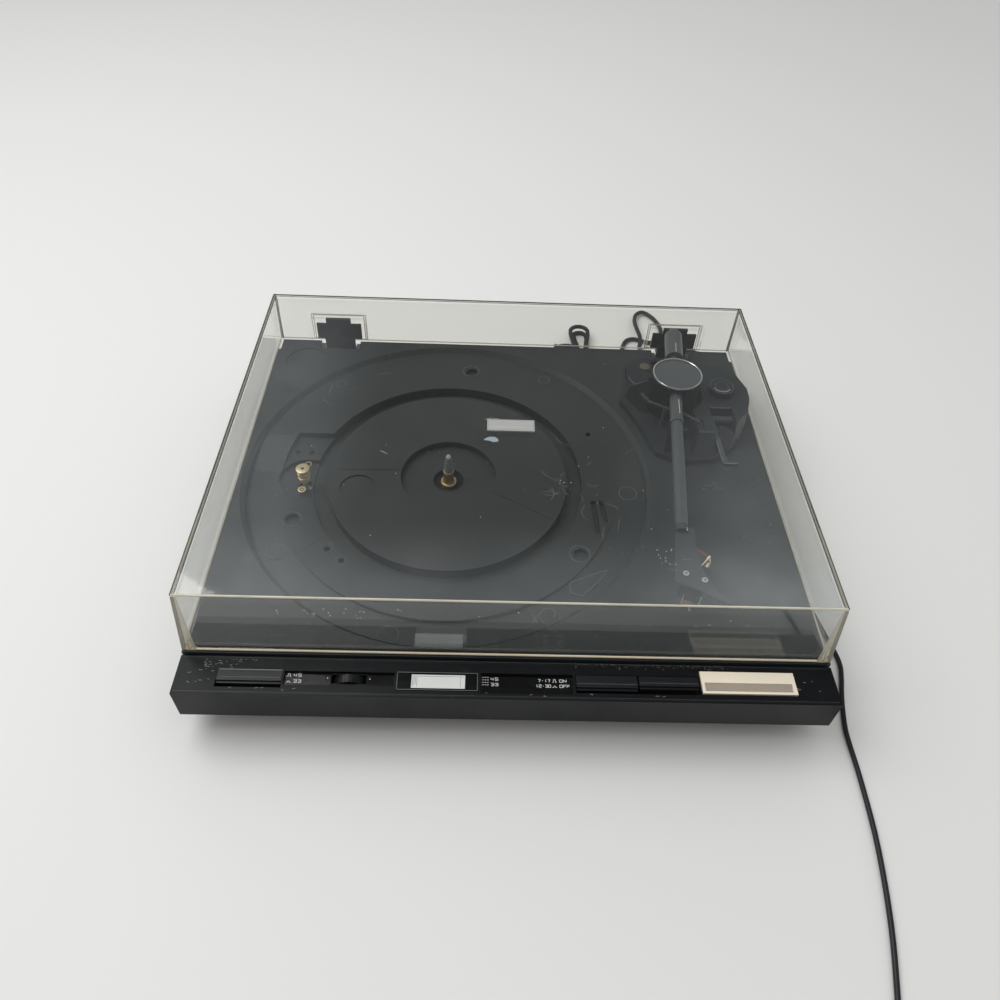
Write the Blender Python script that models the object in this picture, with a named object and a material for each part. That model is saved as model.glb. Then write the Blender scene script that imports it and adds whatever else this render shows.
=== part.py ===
"""Automatic turntable with a clear lid: every piece its own solid, in metres, +Z up.

The pieces hang on an empty, `deck`, whose origin lies on the deck's top face, in the middle
of the case's width and under the lid's rear face. +X is the player's right, -Y its front.
"""
import math

import bmesh
import bpy
from mathutils import Matrix, Vector

for old in list(bpy.data.objects):
    bpy.data.objects.remove(old, do_unlink=True)

# Clearances
GAP = 0.0003                   # between faces that rest on each other
CUT_PAST = 0.004               # how far a cutter runs past the face that it opens
ROUND_STEPS = 36               # sides of a middling round piece
FINE_STEPS = 84                # sides of the platter well
SMALL_STEPS = 16               # sides of a pin or a screw

# Tonearm housing, which sets the width of the right-hand bay
POD_REACH = 0.0657             # arm pivot to the housing's right edge
POD_SIDE = 0.0052              # housing to the side of the case
POD_BAY_SHARE = 1.405          # bay beside the well, in reaches
POD_STEP = 0.0050              # height of the low tier
POD_HEIGHT = 0.0200            # height of the high tier
ARM_REAR = 0.01915             # counterweight to the lid's rear face
ARM_FRONT = 0.02613            # finger lift to the lid's front face

# Platter well
WELL_RADIUS = 0.1592
WELL_CHAMFER = 0.0037          # the rim's slope, in and down
WELL_SIDE = 0.0041             # well to the left side of the case
WELL_BACK = 0.0097             # well to the rear of the lid
WELL_FRONT = 0.0039            # well to the front of the lid
CHANNEL_DROP = 0.0080          # floor of the ring and channel
CHANNEL_END_DROP = 0.0120      # the channel's floor at the very front
GROOVE_DROP = 0.0124
HUB_DROP = 0.0092              # recess round the spindle
CHANNEL_SHARE = 0.829          # channel's inner edge, in well radii
GROOVE_OUT_SHARE = 0.663
GROOVE_IN_SHARE = 0.587
HUB_SHARE = 0.2356
PLATEAU_SHARE = 0.274          # where the rear plateau ends
RAMP_END_SHARE = 0.019
CHANNEL_START_SHARE = -0.126

# Case
FOOT_HEIGHT = 0.0130
FOOT_RADIUS = 0.0170
FOOT_TOP_RADIUS = 0.0140
FOOT_HOLE = 0.0045
FOOT_INSET = 0.0400            # foot centre to the side of the case
FOOT_REAR_INSET = 0.0360
CASE_WALL = 0.0030
WELL_PLATE = 0.0034            # plate under the groove
LEDGE_DROP = 0.0010            # the lid's rim stands here
REAR_INSET = 0.0035            # the lid's rear wall hangs behind the plinth
BOTTOM_SHEET = 0.0020

# Clear lid
LID_CLEAR = 0.0056             # arm cap to the lid
LID_WALL = 0.0030
LID_ROUND = 0.0014
LEAN_SIDE = 0.00205
LEAN_BACK = 0.0037
LEAN_FRONT = 0.0073
RIM_LIFT = 0.0003
PLATE_WIDTH = 0.0352           # bare plate on the lid
PLATE_DEPTH = 0.0120
PLATE_THICK = 0.0011
PLATE_SEAT = 0.0005

# Lid hinges
HINGE_IN = 0.0100              # axis in front of the lid's rear face
HINGE_DOWN = 0.0080            # axis under the deck
HINGE_SHARE = 0.3645           # hinge from the middle, in case widths
LEAF_WIDTH = 0.0400
LEAF_HEIGHT = 0.0153
LEAF_THICK = 0.0022
LEAF_IN = 0.0054               # leaf's back face to the lid's rear face
LEAF_BASE = 0.0053
TAB_WIDTH = 0.0220
TAB_HEIGHT = 0.0058
STEM_WIDTH = 0.0270
BARREL_RADIUS = 0.0030
PIN_RADIUS = 0.0015
EAR_THICK = 0.0035
EAR_HALF = 0.0055
NOTCH_DROP = 0.0130
POCKET_WIDTH = 0.0525
POCKET_TOP = 0.0289
POCKET_BASE = 0.0014
POCKET_RIB = 0.0022
POCKET_DEPTH = 0.0085
REAR_RELIEF_DROP = 0.0100      # the side ledges' rear ends, cut down for the opening lid
REAR_RELIEF_RUN = 0.0175

# Front bar
BAR_DEPTH = 0.0279
BAR_DROP = 0.00265             # bar's top under the deck
BAR_HEIGHT = 0.02685
BAR_WALL = 0.0030
BAR_SEAM = 0.0010              # dark line behind the bar
BAR_SEAM_DROP = 0.0060
LID_TO_BAR = 0.0010
PRESS = 0.0020                 # travel of a button
KEY_DEEP = 0.0150              # height of a key
KEY_GAP = 0.0003
START_LIFT = 0.0013            # the wide key stands above the bar
DISH = 0.0020                  # depth of the shallow dishes
BOARD_THICK = 0.0016
WHEEL_RADIUS = 0.0120
WHEEL_SHAFT = 0.0020
STROBE_FRAME = 0.0014
LAMP_RADIUS = 0.0030
LAMP_HEIGHT = 0.0090
SPEED_X_SHARES = (-0.4381, -0.3417)
SPEED_Y_SHARES = (0.358, 0.645)
LEFT_DISH_X_SHARES = (-0.3390, -0.1740)
LEFT_DISH_Y_SHARES = (0.384, 0.728)
WHEEL_X_SHARES = (-0.2679, -0.2167)
WHEEL_Y_SHARES = (0.437, 0.634)
STROBE_X_SHARES = (-0.1702, -0.0481)
STROBE_Y_SHARES = (0.355, 0.807)
PANE_X_SHARES = (-0.1481, -0.0674)
PANE_Y_SHARES = (0.419, 0.753)
RIGHT_DISH_X_SHARES = (-0.0440, 0.0960)
RIGHT_DISH_Y_SHARES = (0.355, 0.850)
DISC_X_SHARES = (0.1005, 0.1940)
DISC_Y_SHARES = (0.366, 0.667)
REPEAT_X_SHARES = (0.1964, 0.2876)
REPEAT_Y_SHARES = (0.366, 0.609)
START_X_SHARES = (0.2912, 0.4357)
START_Y_SHARES = (0.229, 0.778)
SLOT_FRONT_SHARE = 0.796       # the dark gap in front of the keys
PRISM_X_SHARES = (-0.1471, -0.0726)
PRISM_DEPTH = 0.0097
PRISM_HEIGHT = 0.0032
PRISM_GAP = 0.0010

# Spindle and its drive
SHAFT_RADIUS = 0.00355
SHAFT_TOP = 0.0184
SHAFT_TIP = 0.0022             # height of the rounded tip
RUNNING = 0.0003               # gap round a shaft
SEAT_RADIUS = 0.0048
SEAT_TOP = 0.0010
SEAT_FOOT = 0.0109
FLANGE_RADIUS = 0.00615
FLANGE_THICK = 0.0011
HOUSING_RADIUS = 0.0117
HOUSING_FLANGE = 0.0170
HOUSING_THICK = 0.0020
CUP_RADIUS = 0.0080
CUP_HEIGHT = 0.0060
CUP_FLOOR = 0.0013
CUP_CLEAR = 0.0029             # cup to the gears
GEAR_MODULE = 0.0011
GEAR_THICK = 0.0054
PINION_TEETH = 12
CAM_TEETH = 72
GEAR_CLEAR = 0.0012            # gears under the bearing
GEAR_SLACK = 0.00015
CAM_BEARING = -35.0            # degrees, from the spindle
AXLE_RADIUS = 0.0030
AXLE_SHOULDER = 0.0045
AXLE_FOOT = 0.0065

# Motor and transformer
MOTOR_RADIUS = 0.0140
PULLEY_RADIUS = 0.0046
PULLEY_DISC = 0.00475
PULLEY_TOP = 0.0080
PULLEY_FOOT = 0.0060
MOTOR_SHAFT = 0.0012
MOTOR_X_SHARE = -0.701
MOTOR_Y_SHARE = -0.051
COIL_BOX_WIDTH = 0.0480
COIL_BOX_DEPTH = 0.0500
COIL_BOX_CLEAR = 0.0013        # transformer under the well

# Tonearm
REST_ANGLE = 7.2               # degrees, the tube's lean toward the well
ARM_HEIGHT = 0.0300            # tube's axis over the deck
DRUM_RADIUS = 0.0202
DRUM_WALL = 0.0042
DRUM_OVER = 0.0033             # drum over the tube
DRUM_UNDER = 0.0050            # drum's floor under its slot
CAP_THICK = 0.0013
CAP_RIM = 0.0018
CAP_RIM_HIGH = 0.0004
DRUM_CLEAR = 0.0250            # round cut in the high tier
POST_RADIUS = 0.0080
POST_FLANGE = 0.0120
STUB_RADIUS = 0.0040
STUB_FOOT = 0.0120
THICK_RADIUS = 0.0052
THICK_END = 0.0460
COLLAR_RADIUS = 0.0056
COLLAR_LENGTH = 0.0045
TUBE_RADIUS = 0.0048
SLOT_SIDE = 0.0013             # drum slot beside the tube
SLOT_UNDER = 0.0028            # drum slot under the tube
GIMBAL_RADIUS = 0.0018
WEIGHT_RADIUS = 0.0077
WEIGHT_FRONT = 0.0330
WEIGHT_LENGTH = 0.0370
WEIGHT_ROUND = 0.0035
WEIGHT_STUB = 0.0610           # rear end of the stub
WEIGHT_END_WALL = 0.0014
SHELL_LENGTH = 0.0610          # tube's end to the finger lift's tip
SHELL_THICK = 0.0022
SHELL_TOP = 0.0012
SHELL_PLUG = 0.0045
CART_ANGLE = 17.0              # degrees
CART_WIDTH = 0.0150
CART_LENGTH = 0.0237
CART_FRONT = 0.0097
CART_HEIGHT = 0.0105
CART_REACH_SHARE = 0.7128      # of the shell's length
CART_SIDE_SHARE = 0.1221
NEEDLE_WIDTH = 0.0075
NEEDLE_LENGTH = 0.0170
NEEDLE_HEIGHT = 0.0036
NEEDLE_TIP = 0.0011
SCREW_SPACING = 0.0127
SCREW_RADIUS = 0.0012
SCREW_HEAD = 0.0022
SCREW_HEAD_HIGH = 0.0014
SCREW_SLACK = 0.0003
LEAD_RADIUS = 0.00045

# Arm rest, lifter, cue lever and knob
REST_REACH = 0.0530
REST_DEPTH = 0.0040
REST_LEFT = 0.0060
REST_RIGHT = 0.0086
REST_STOP = 0.0030
REST_STOP_HIGH = 0.0045
RAIL_WIDTH = 0.0024
RAIL_THICK = 0.0015
PLUNGER_RADIUS = 0.0020
PLUNGER_FOOT = 0.0100
RAIL_TRAVEL = 0.0040
LEVER_X_SHARE = 0.420          # slot's left wall, in reaches from the pivot
LEVER_SLOT = 0.0195
LEVER_BACK = 0.0174
LEVER_SLOT_LONG = 0.0230
LEVER_SLOT_FLOOR = 0.0080
LEVER_AXIS_Y = 0.0244
LEVER_AXIS_Z = 0.0125
LEVER_WIDTH = 0.0034
LEVER_LONG = 0.0560
LEVER_RISE = 0.0035
LEVER_THICK = 0.0028
LEVER_TAB = 0.0115
LEVER_TAB_LONG = 0.0030
LEVER_CHANNEL_FLOOR = 0.0060
LEVER_PIN = 0.0015
LEVER_PIN_SEAT = 0.0030
LEVER_HUB = 0.0032
KNOB_RADIUS = 0.0104
KNOB_HEIGHT = 0.0055
KNOB_STEM = 0.0025
KNOB_STEM_DEEP = 0.0060
KNOB_X_SHARE = 0.627
KNOB_Y_SHARE = 0.062

# Cords and what they end in
RELIEF_NECK = 0.0034
RELIEF_COLLAR = 0.0055
RELIEF_COLLAR_THICK = 0.0020
RELIEF_TIP = 0.0023
RELIEF_END = 0.0240            # tip, behind the lid's rear face
RELIEF_DROP = 0.0250           # its axis under the deck
POWER_DIAMETER = 0.0034
POWER_OUT = 0.1500             # to the right of the middle
PHONO_DIAMETER = 0.0042
PHONO_OUT = 0.0500
COIL_GAP = 0.0011              # between turns that lie side by side
HANK_GAP = 0.0016
TABLE_GAP = 0.0001
COIL_X = 0.1840
COIL_Y = 0.0280
COIL_RADIUS = 0.0243           # outermost turn
COIL_TURNS = 3                 # in each of two layers
HANK_X = 0.0785
HANK_Y = 0.0455
HANK_RADIUS = 0.0107           # outermost fold
HANK_STRAIGHT = 0.0315         # half the straight run
HANK_WAIST = 0.0035            # how far the runs are drawn in
HANK_TURNS = 1
HANK_EXTRA_TURNS = 0.25        # the upper layer runs this far past the lower
WOUND_STEPS = 24               # points in one turn of a wound cord
RUN_SHARE = 0.2                # of a lap's points on each run
FOLD_SHARE = 0.3               # and on each fold
PLUG_WIDTH = 0.0250
PLUG_THICK = 0.0130
PLUG_LENGTH = 0.0340
PLUG_PIN_RADIUS = 0.0020
PLUG_PIN_LENGTH = 0.0190
PLUG_PIN_SPACING = 0.0186
DIN_RADIUS = 0.0070
DIN_LENGTH = 0.0240
DIN_BOOT = 0.0120
DIN_NOSE = 0.0066
DIN_NOSE_LENGTH = 0.0090

# Routes in deck coordinates; the third value is the height over a cord at rest on the table
POWER_START_ROUTE = (
    (0.1516, 0.0365, 0.0165), (0.1555, 0.0450, 0.0065), (0.1630, 0.0510, 0.0008))
POWER_RUN_ROUTE = (
    (0.1990, 0.0517, 0.0028), (0.2110, 0.0480, 0.0006), (0.2215, 0.0400, 0.0),
    (0.2290, 0.0270, 0.0), (0.2325, 0.0080, 0.0), (0.2315, -0.0300, 0.0),
    (0.2280, -0.1000, 0.0), (0.2265, -0.1800, 0.0), (0.2290, -0.2400, 0.0),
    (0.2345, -0.2720, 0.0), (0.2392, -0.2950, 0.0), (0.2400, -0.3060, 0.0),
    (0.2380, -0.3160, 0.0), (0.2348, -0.3270, 0.0), (0.2320, -0.3384, 0.0),
    (0.2293, -0.3530, 0.0), (0.2286, -0.3640, 0.0), (0.2284, -0.3900, 0.0),
    (0.2260, -0.4300, 0.0), (0.2190, -0.4750, 0.0), (0.2090, -0.5150, 0.0))
POWER_PLUG_AT = (0.2030, -0.5370, 0.0)
PHONO_START_ROUTE = (
    (0.0505, 0.0380, 0.0165), (0.0530, 0.0500, 0.0060), (0.0595, 0.0590, 0.0008),
    (0.0680, 0.0600, 0.0))
PHONO_RUN_ROUTE = (
    (0.0930, 0.0040, 0.0024), (0.1060, 0.0110, 0.0), (0.1150, 0.0240, 0.0),
    (0.1190, 0.0430, 0.0), (0.1222, 0.0600, 0.0), (0.1270, 0.0715, 0.0),
    (0.1350, 0.0753, 0.0), (0.1440, 0.0720, 0.0), (0.1530, 0.0700, 0.0),
    (0.1618, 0.0765, 0.0), (0.1662, 0.0900, 0.0), (0.1645, 0.1040, 0.0),
    (0.1590, 0.1165, 0.0), (0.1505, 0.1225, 0.0010), (0.1425, 0.1160, 0.0020),
    (0.1390, 0.1020, 0.0035), (0.1395, 0.0870, 0.0047), (0.1408, 0.0745, 0.0053),
    (0.1402, 0.0630, 0.0052))
DIN_PLUG_AT = (0.1385, 0.0520, 0.0049)

# Outlines round the arm pivot, in reaches
LOW_TIER_SHARES = (
    (-0.641, 0.100), (-0.556, -0.097), (-0.473, -0.288), (-0.406, -0.472), (-0.352, -0.721),
    (-0.295, -0.863), (-0.113, -0.957), (0.053, -0.998), (0.419, -0.956), (0.563, -0.848),
    (0.769, -0.639), (0.919, -0.326), (0.991, -0.084), (1.000, 0.116), (0.904, 0.409),
    (0.714, 0.565), (0.440, 0.618), (0.318, 0.983), (-0.321, 0.983), (-0.489, 0.831),
    (-0.489, 0.542))
PIT_SHARES = (
    (-0.412, 0.420), (-0.321, 0.253), (0.150, 0.400), (0.349, 0.618), (0.270, 0.922),
    (-0.123, 0.922), (-0.123, 0.679), (-0.177, 0.557))
HIGH_FOOT_SHARES = (
    (0.128, -0.980), (0.419, -0.953), (0.563, -0.845), (0.766, -0.636), (0.916, -0.326),
    (0.988, -0.084), (0.997, 0.116), (0.901, 0.406), (0.712, 0.562), (0.440, 0.612),
    (0.200, 0.520), (0.200, -0.300), (0.190, -0.420), (0.151, -0.630))
HIGH_TOP_SHARES = (
    (0.219, -0.714), (0.406, -0.709), (0.562, -0.623), (0.729, -0.524), (0.906, -0.323),
    (0.977, -0.084), (0.988, 0.116), (0.896, 0.402), (0.709, 0.557), (0.440, 0.607),
    (0.200, 0.518), (0.200, -0.300), (0.215, -0.400), (0.219, -0.600))
RAIL_SHARES = (
    (-0.431, -0.105), (-0.341, -0.265), (-0.154, -0.365), (0.056, -0.472), (0.230, -0.615))
# The headshell's outline, in shell lengths: to the side, and forward from the tube's end
SHELL_SHARES = (
    (-0.079, 0.004), (0.151, 0.004), (0.151, 0.221), (0.205, 0.558), (0.287, 0.738),
    (0.359, 0.867), (0.510, 0.943), (0.510, 1.000), (0.427, 0.993), (0.320, 0.943),
    (0.169, 0.867), (0.040, 0.831), (-0.090, 0.792))
LEAD_SHARES = (
    (0.144, 0.192, -0.072), (0.266, 0.264, -0.093), (0.316, 0.336, -0.097))
LEAD_START_SHARE = 0.46        # of the tube's radius
LEAD_END_SHARES = (0.23, 0.58) # of the cartridge's width and height
# Things in the well, in well radii from the spindle
MOTOR_BAY_SHARES = (
    (-0.580, 0.116), (-0.643, 0.104), (-0.704, 0.109), (-0.753, 0.105), (-0.798, 0.077),
    (-0.826, 0.041), (-0.837, -0.007), (-0.832, -0.041), (-0.820, -0.067), (-0.787, -0.133),
    (-0.712, -0.177), (-0.624, -0.195), (-0.580, -0.133))
BOSS_HOLE_SHARES = ((-0.725, -0.286), (0.628, -0.457), (0.097, 0.803))
SMALL_HOLE_SHARES = (
    (-0.535, -0.459), (-0.461, -0.523), (0.718, 0.322), (-0.774, 0.158), (-0.702, 0.160))
VOLTAGE_SHARES = (-0.438, -0.100)
LONG_SLOT_SHARES = ((0.712, -0.134), (0.719, -0.317))
SHORT_SLOT_SHARES = ((0.752, -0.133), (0.762, -0.248))
BOSS_RADIUS = 0.0055
BOSS_DEEP = 0.0036
SMALL_HOLE_RADIUS = 0.0022
VOLTAGE_RADIUS = 0.0140
VOLTAGE_DEEP = 0.0012
SLOT_WIDTH = 0.0040
SLOT_DEEP = 0.0030
MOTOR_BAY_DROP = 0.0115
ADAPTOR_RADIUS = 0.0195
ADAPTOR_DEEP = 0.0008
ADAPTOR_X_SHARE = -0.4262      # in case widths
ADAPTOR_BACK = 0.0360

# Sizes that follow from those above
BAY_WIDTH = POD_BAY_SHARE * POD_REACH + POD_SIDE
CASE_WIDTH = WELL_SIDE + 2 * WELL_RADIUS + BAY_WIDTH
HALF = CASE_WIDTH / 2
LID_DEPTH = WELL_BACK + 2 * WELL_RADIUS + WELL_FRONT
BAR_BACK = -(LID_DEPTH + LID_TO_BAR + GAP)
CASE_DEPTH = BAR_DEPTH - BAR_BACK
WELL_X = WELL_SIDE + WELL_RADIUS - HALF
WELL_Y = -(WELL_BACK + WELL_RADIUS)
ARM_BACK = (WEIGHT_FRONT + WEIGHT_LENGTH) * math.cos(math.radians(REST_ANGLE)) + ARM_REAR
SHELL_REACH = (LID_DEPTH - ARM_BACK - ARM_FRONT) / math.cos(math.radians(REST_ANGLE))
TUBE_END = SHELL_REACH - SHELL_LENGTH
ARM_X = HALF - POD_SIDE - POD_REACH
WELL_UNDER = GROOVE_DROP + WELL_PLATE
GEAR_DROP = WELL_UNDER + GAP + HOUSING_THICK + GEAR_CLEAR
UNDER = GEAR_DROP + GEAR_THICK + CUP_CLEAR + CUP_HEIGHT + GAP + BOTTOM_SHEET
DECK_HEIGHT = UNDER + FOOT_HEIGHT
SHAFT_FOOT = UNDER - BOTTOM_SHEET - GAP - CUP_FLOOR - GAP
COIL_BOX_HEIGHT = UNDER - BOTTOM_SHEET - GAP - WELL_UNDER - COIL_BOX_CLEAR
DRUM_TOP = ARM_HEIGHT + THICK_RADIUS + DRUM_OVER
DRUM_FLOOR = ARM_HEIGHT - THICK_RADIUS - SLOT_UNDER - DRUM_UNDER
LID_HEIGHT = DRUM_TOP + GAP + CAP_THICK + CAP_RIM_HIGH + LID_CLEAR + LID_WALL
INNER_HALF = HALF - LID_WALL - LID_ROUND / 2
SHEET_TOP = -UNDER + BOTTOM_SHEET

# Materials
def material(name, colour, roughness, metallic=0.0, alpha=1.0):
    made = bpy.data.materials.new(name)
    made.use_nodes = True
    shader = made.node_tree.nodes["Principled BSDF"]
    shader.inputs["Base Color"].default_value = (*colour, 1.0)
    shader.inputs["Roughness"].default_value = roughness
    shader.inputs["Metallic"].default_value = metallic
    shader.inputs["Alpha"].default_value = alpha
    made.diffuse_color = (*colour, alpha)
    return made


DECK_GREY = (0.085, 0.088, 0.095)
BAR_BLACK = (0.022, 0.023, 0.026)
CLEAR = (0.80, 0.82, 0.78)
STEEL = (0.62, 0.62, 0.63)
BRASS = (0.72, 0.55, 0.26)
RUBBER = (0.02, 0.02, 0.02)
CHAMPAGNE = (0.80, 0.74, 0.64)
WHITE = (0.85, 0.85, 0.80)
ZINC = (0.45, 0.46, 0.48)

# Frames that the pieces hang on
def frame(name, at, parent=None, turn=0.0):
    made = bpy.data.objects.new(name, None)
    made.empty_display_size = 0.02
    made.location = at
    made.rotation_euler = (0, 0, math.radians(turn))
    made.parent = parent
    bpy.context.collection.objects.link(made)
    return made


deck = frame("deck", (0, CASE_DEPTH / 2, DECK_HEIGHT))
well = frame("well", (WELL_X, WELL_Y, 0), deck)
arm_base = frame("arm_base", (ARM_X, -ARM_BACK, 0), deck)
arm_swing = frame("arm_swing", (0, 0, 0), arm_base, -REST_ANGLE)
arm_tilt = frame("arm_tilt", (0, 0, ARM_HEIGHT), arm_swing)
lid_axis = frame("lid_axis", (0, -HINGE_IN, -HINGE_DOWN), deck)


# Shapes
def build(name, bm, look=None, parent=deck, at=(0, 0, 0), turn=0.0, bevel=0.0, tool=False):
    """Make an object of the mesh; `look` is a colour, roughness and metallic value."""
    bmesh.ops.recalc_face_normals(bm, faces=bm.faces[:])
    mesh = bpy.data.meshes.new(name)
    bm.to_mesh(mesh)
    bm.free()
    made = bpy.data.objects.new(name, mesh)
    made.location = at
    made.rotation_euler = (0, 0, math.radians(turn))
    made.parent = parent
    bpy.context.collection.objects.link(made)
    if bevel:
        rounding = made.modifiers.new("rounding", "BEVEL")
        rounding.width = bevel
        rounding.segments = 1
        rounding.limit_method = "ANGLE"
    if tool:
        made.hide_render = True
        made.display_type = "WIRE"
    else:
        mesh.shade_smooth()
        mesh.set_sharp_from_angle(angle=math.radians(32))
        mesh.materials.append(material(name, *look))
    return made


def rings(loops, close=False):
    """Skin between rings of as many points, with end faces unless the rings close."""
    bm = bmesh.new()
    rows = [[bm.verts.new(point) for point in loop] for loop in loops]
    count = len(rows[0])
    pairs = list(zip(rows, rows[1:] + ([rows[0]] if close else [])))
    for low, high in pairs:
        for i in range(count):
            j = (i + 1) % count
            bm.faces.new((low[i], low[j], high[j], high[i]))
    if not close:
        bm.faces.new(rows[0])
        bm.faces.new(rows[-1])
    return bm


def slab(outline, low, high):
    return rings([[(x, y, z) for x, y in outline] for z in (low, high)])


def rectangle(x0, x1, y0, y1):
    return [(x0, y0), (x1, y0), (x1, y1), (x0, y1)]


def block(x0, x1, y0, y1, z0, z1):
    return slab(rectangle(min(x0, x1), max(x0, x1), min(y0, y1), max(y0, y1)), z0, z1)


def circle(radius, steps, x=0.0, y=0.0):
    turns = [2 * math.pi * i / steps for i in range(steps)]
    return [(x + radius * math.cos(a), y + radius * math.sin(a)) for a in turns]


def turned(profile, steps=ROUND_STEPS, bored=False):
    """Turn (radius, height) points about Z; a solid profile starts and ends on the axis."""
    bm = bmesh.new()
    columns = []
    for i in range(steps):
        a = 2 * math.pi * i / steps
        columns.append([(r * math.cos(a), r * math.sin(a), z) for r, z in profile])
    if bored:
        bm.free()
        return rings(columns, close=True)
    ends = [bm.verts.new((0, 0, profile[0][1])), bm.verts.new((0, 0, profile[-1][1]))]
    rows = [[bm.verts.new(point) for point in column[1:-1]] for column in columns]
    for i in range(steps):
        here, there = rows[i], rows[(i + 1) % steps]
        bm.faces.new((ends[0], there[0], here[0]))
        for k in range(len(here) - 1):
            bm.faces.new((here[k], there[k], there[k + 1], here[k + 1]))
        bm.faces.new((ends[1], here[-1], there[-1]))
    return bm


def rod(radius, low, high, steps=SMALL_STEPS):
    return slab(circle(radius, steps), low, high)


def along(bm, axis):
    """Lay a mesh that was made along Z along X or Y."""
    spin = Matrix.Rotation(math.radians(90), 4, "Y" if axis == "X" else "X")
    bmesh.ops.transform(bm, matrix=spin, verts=bm.verts[:])
    return bm


def moved(bm, x=0.0, y=0.0, z=0.0):
    bmesh.ops.translate(bm, vec=Vector((x, y, z)), verts=bm.verts[:])
    return bm


def tool(name, bm, parent=deck, at=(0, 0, 0), turn=0.0):
    return build(name, bm, parent=parent, at=at, turn=turn, tool=True)


# The exact solver leaves open edges on these two, whose faces carry many holes
MANY_HOLES = ("plinth", "tonearm_base")


def combine(body, other, how):
    step = body.modifiers.new(other.name, "BOOLEAN")
    step.solver = "MANIFOLD" if body.name in MANY_HOLES else "EXACT"
    step.operation = how
    step.object = other
    return body


def cut(body, other):
    return combine(body, other, "DIFFERENCE")


def join(body, other):
    return combine(body, other, "UNION")


def scaled(shares, size):
    return [tuple(size * value for value in point) for point in shares]


def capsule(a, b, width):
    """Outline of a slot with round ends, from a to b."""
    heading = math.atan2(b[1] - a[1], b[0] - a[0])
    points = []
    for centre, start in ((b, heading - math.pi / 2), (a, heading + math.pi / 2)):
        for k in range(7):
            turn = start + math.pi * k / 6
            x = centre[0] + width / 2 * math.cos(turn)
            y = centre[1] + width / 2 * math.sin(turn)
            points.append((x, y))
    return points


# Plinth: a moulded tray, open underneath
ledge = rectangle(-HALF, HALF, -(LID_DEPTH + LID_TO_BAR), -REAR_INSET)
platform = rectangle(-INNER_HALF, INNER_HALF, -(LID_DEPTH - LID_WALL - GAP),
                     -(REAR_INSET + LEDGE_DROP))
plinth = build("plinth", rings([
    [(x, y, -UNDER) for x, y in ledge],
    [(x, y, -LEDGE_DROP) for x, y in ledge],
    [(x, y, -LEDGE_DROP) for x, y in platform],
    [(x, y, 0) for x, y in platform]]), (DECK_GREY, 0.55, 0.0))
cavity_half = HALF - CASE_WALL - REAR_INSET
cavity_back = -(REAR_INSET + CASE_WALL)
cavity_front = -(LID_DEPTH - LID_TO_BAR - CASE_WALL / 2)
cut(plinth, tool("cavity", block(
    -cavity_half, cavity_half, cavity_front, cavity_back, -UNDER - CUT_PAST, -WELL_UNDER)))
bay_left = WELL_X + WELL_RADIUS + CASE_WALL
bay_back = -(HINGE_IN + EAR_HALF + 2 * CASE_WALL)
cut(plinth, tool("arm_bay", block(
    bay_left, cavity_half - GAP, cavity_front + GAP, bay_back, -WELL_UNDER - CUT_PAST,
    -CASE_WALL)))

mouth = turned([
    (0, -WELL_CHAMFER), (WELL_RADIUS - WELL_CHAMFER, -WELL_CHAMFER), (WELL_RADIUS, 0),
    (WELL_RADIUS, CUT_PAST), (0, CUT_PAST)], FINE_STEPS)
cut(plinth, tool("well_mouth", mouth, well))


def ring_cut(name, inner, outer, floor, ramp):
    """A ring-shaped cutter, kept where the (y, z) outline `ramp` says."""
    body = tool(name, turned([
        (inner, floor), (outer, floor), (outer, CUT_PAST), (inner, CUT_PAST)],
        FINE_STEPS, bored=True), well)
    if ramp:
        wide = WELL_RADIUS + CUT_PAST
        keep = tool(name + "_keep", rings([[(x, y, z) for y, z in ramp] for x in (-wide, wide)]),
                    well)
        combine(body, keep, "INTERSECT")
    return body


channel_out = WELL_RADIUS - WELL_CHAMFER
groove_in = GROOVE_IN_SHARE * WELL_RADIUS
plateau_end = PLATEAU_SHARE * WELL_RADIUS
past_front = -(WELL_RADIUS + CUT_PAST)
groove_middle = (GROOVE_IN_SHARE + GROOVE_OUT_SHARE) / 2 * WELL_RADIUS
cut(plinth, ring_cut("ring_floor", groove_middle, channel_out + GAP, -CHANNEL_DROP - CUT_PAST, [
    (plateau_end, 2 * CUT_PAST), (plateau_end, -WELL_CHAMFER + GAP),
    (RAMP_END_SHARE * WELL_RADIUS, -CHANNEL_DROP), (past_front, -CHANNEL_DROP),
    (past_front, 2 * CUT_PAST)]))
channel_start = CHANNEL_START_SHARE * WELL_RADIUS
cut(plinth, ring_cut(
    "front_channel", CHANNEL_SHARE * WELL_RADIUS, channel_out + 2 * GAP,
    -GROOVE_DROP - CUT_PAST, [
        (channel_start, 2 * CUT_PAST), (channel_start, -CHANNEL_DROP + GAP),
        (past_front, -CHANNEL_END_DROP), (past_front, 2 * CUT_PAST)]))
cut(plinth, ring_cut(
    "groove", groove_in, GROOVE_OUT_SHARE * WELL_RADIUS, -GROOVE_DROP, None))
cut(plinth, tool("hub_recess", rod(HUB_SHARE * WELL_RADIUS, -HUB_DROP, CUT_PAST, FINE_STEPS),
                 well))
cut(plinth, tool("bearing_hole", rod(HOUSING_RADIUS + GAP, -UNDER, CUT_PAST, ROUND_STEPS),
                 well))
side_ring_low = GROOVE_OUT_SHARE * WELL_RADIUS - CUT_PAST / 2
side_step = tool("side_step", turned([
    (side_ring_low, -CHANNEL_DROP - GAP), (CHANNEL_SHARE * WELL_RADIUS, -CHANNEL_DROP - GAP),
    (CHANNEL_SHARE * WELL_RADIUS, CUT_PAST), (side_ring_low, CUT_PAST)], FINE_STEPS, bored=True),
    well)
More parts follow.
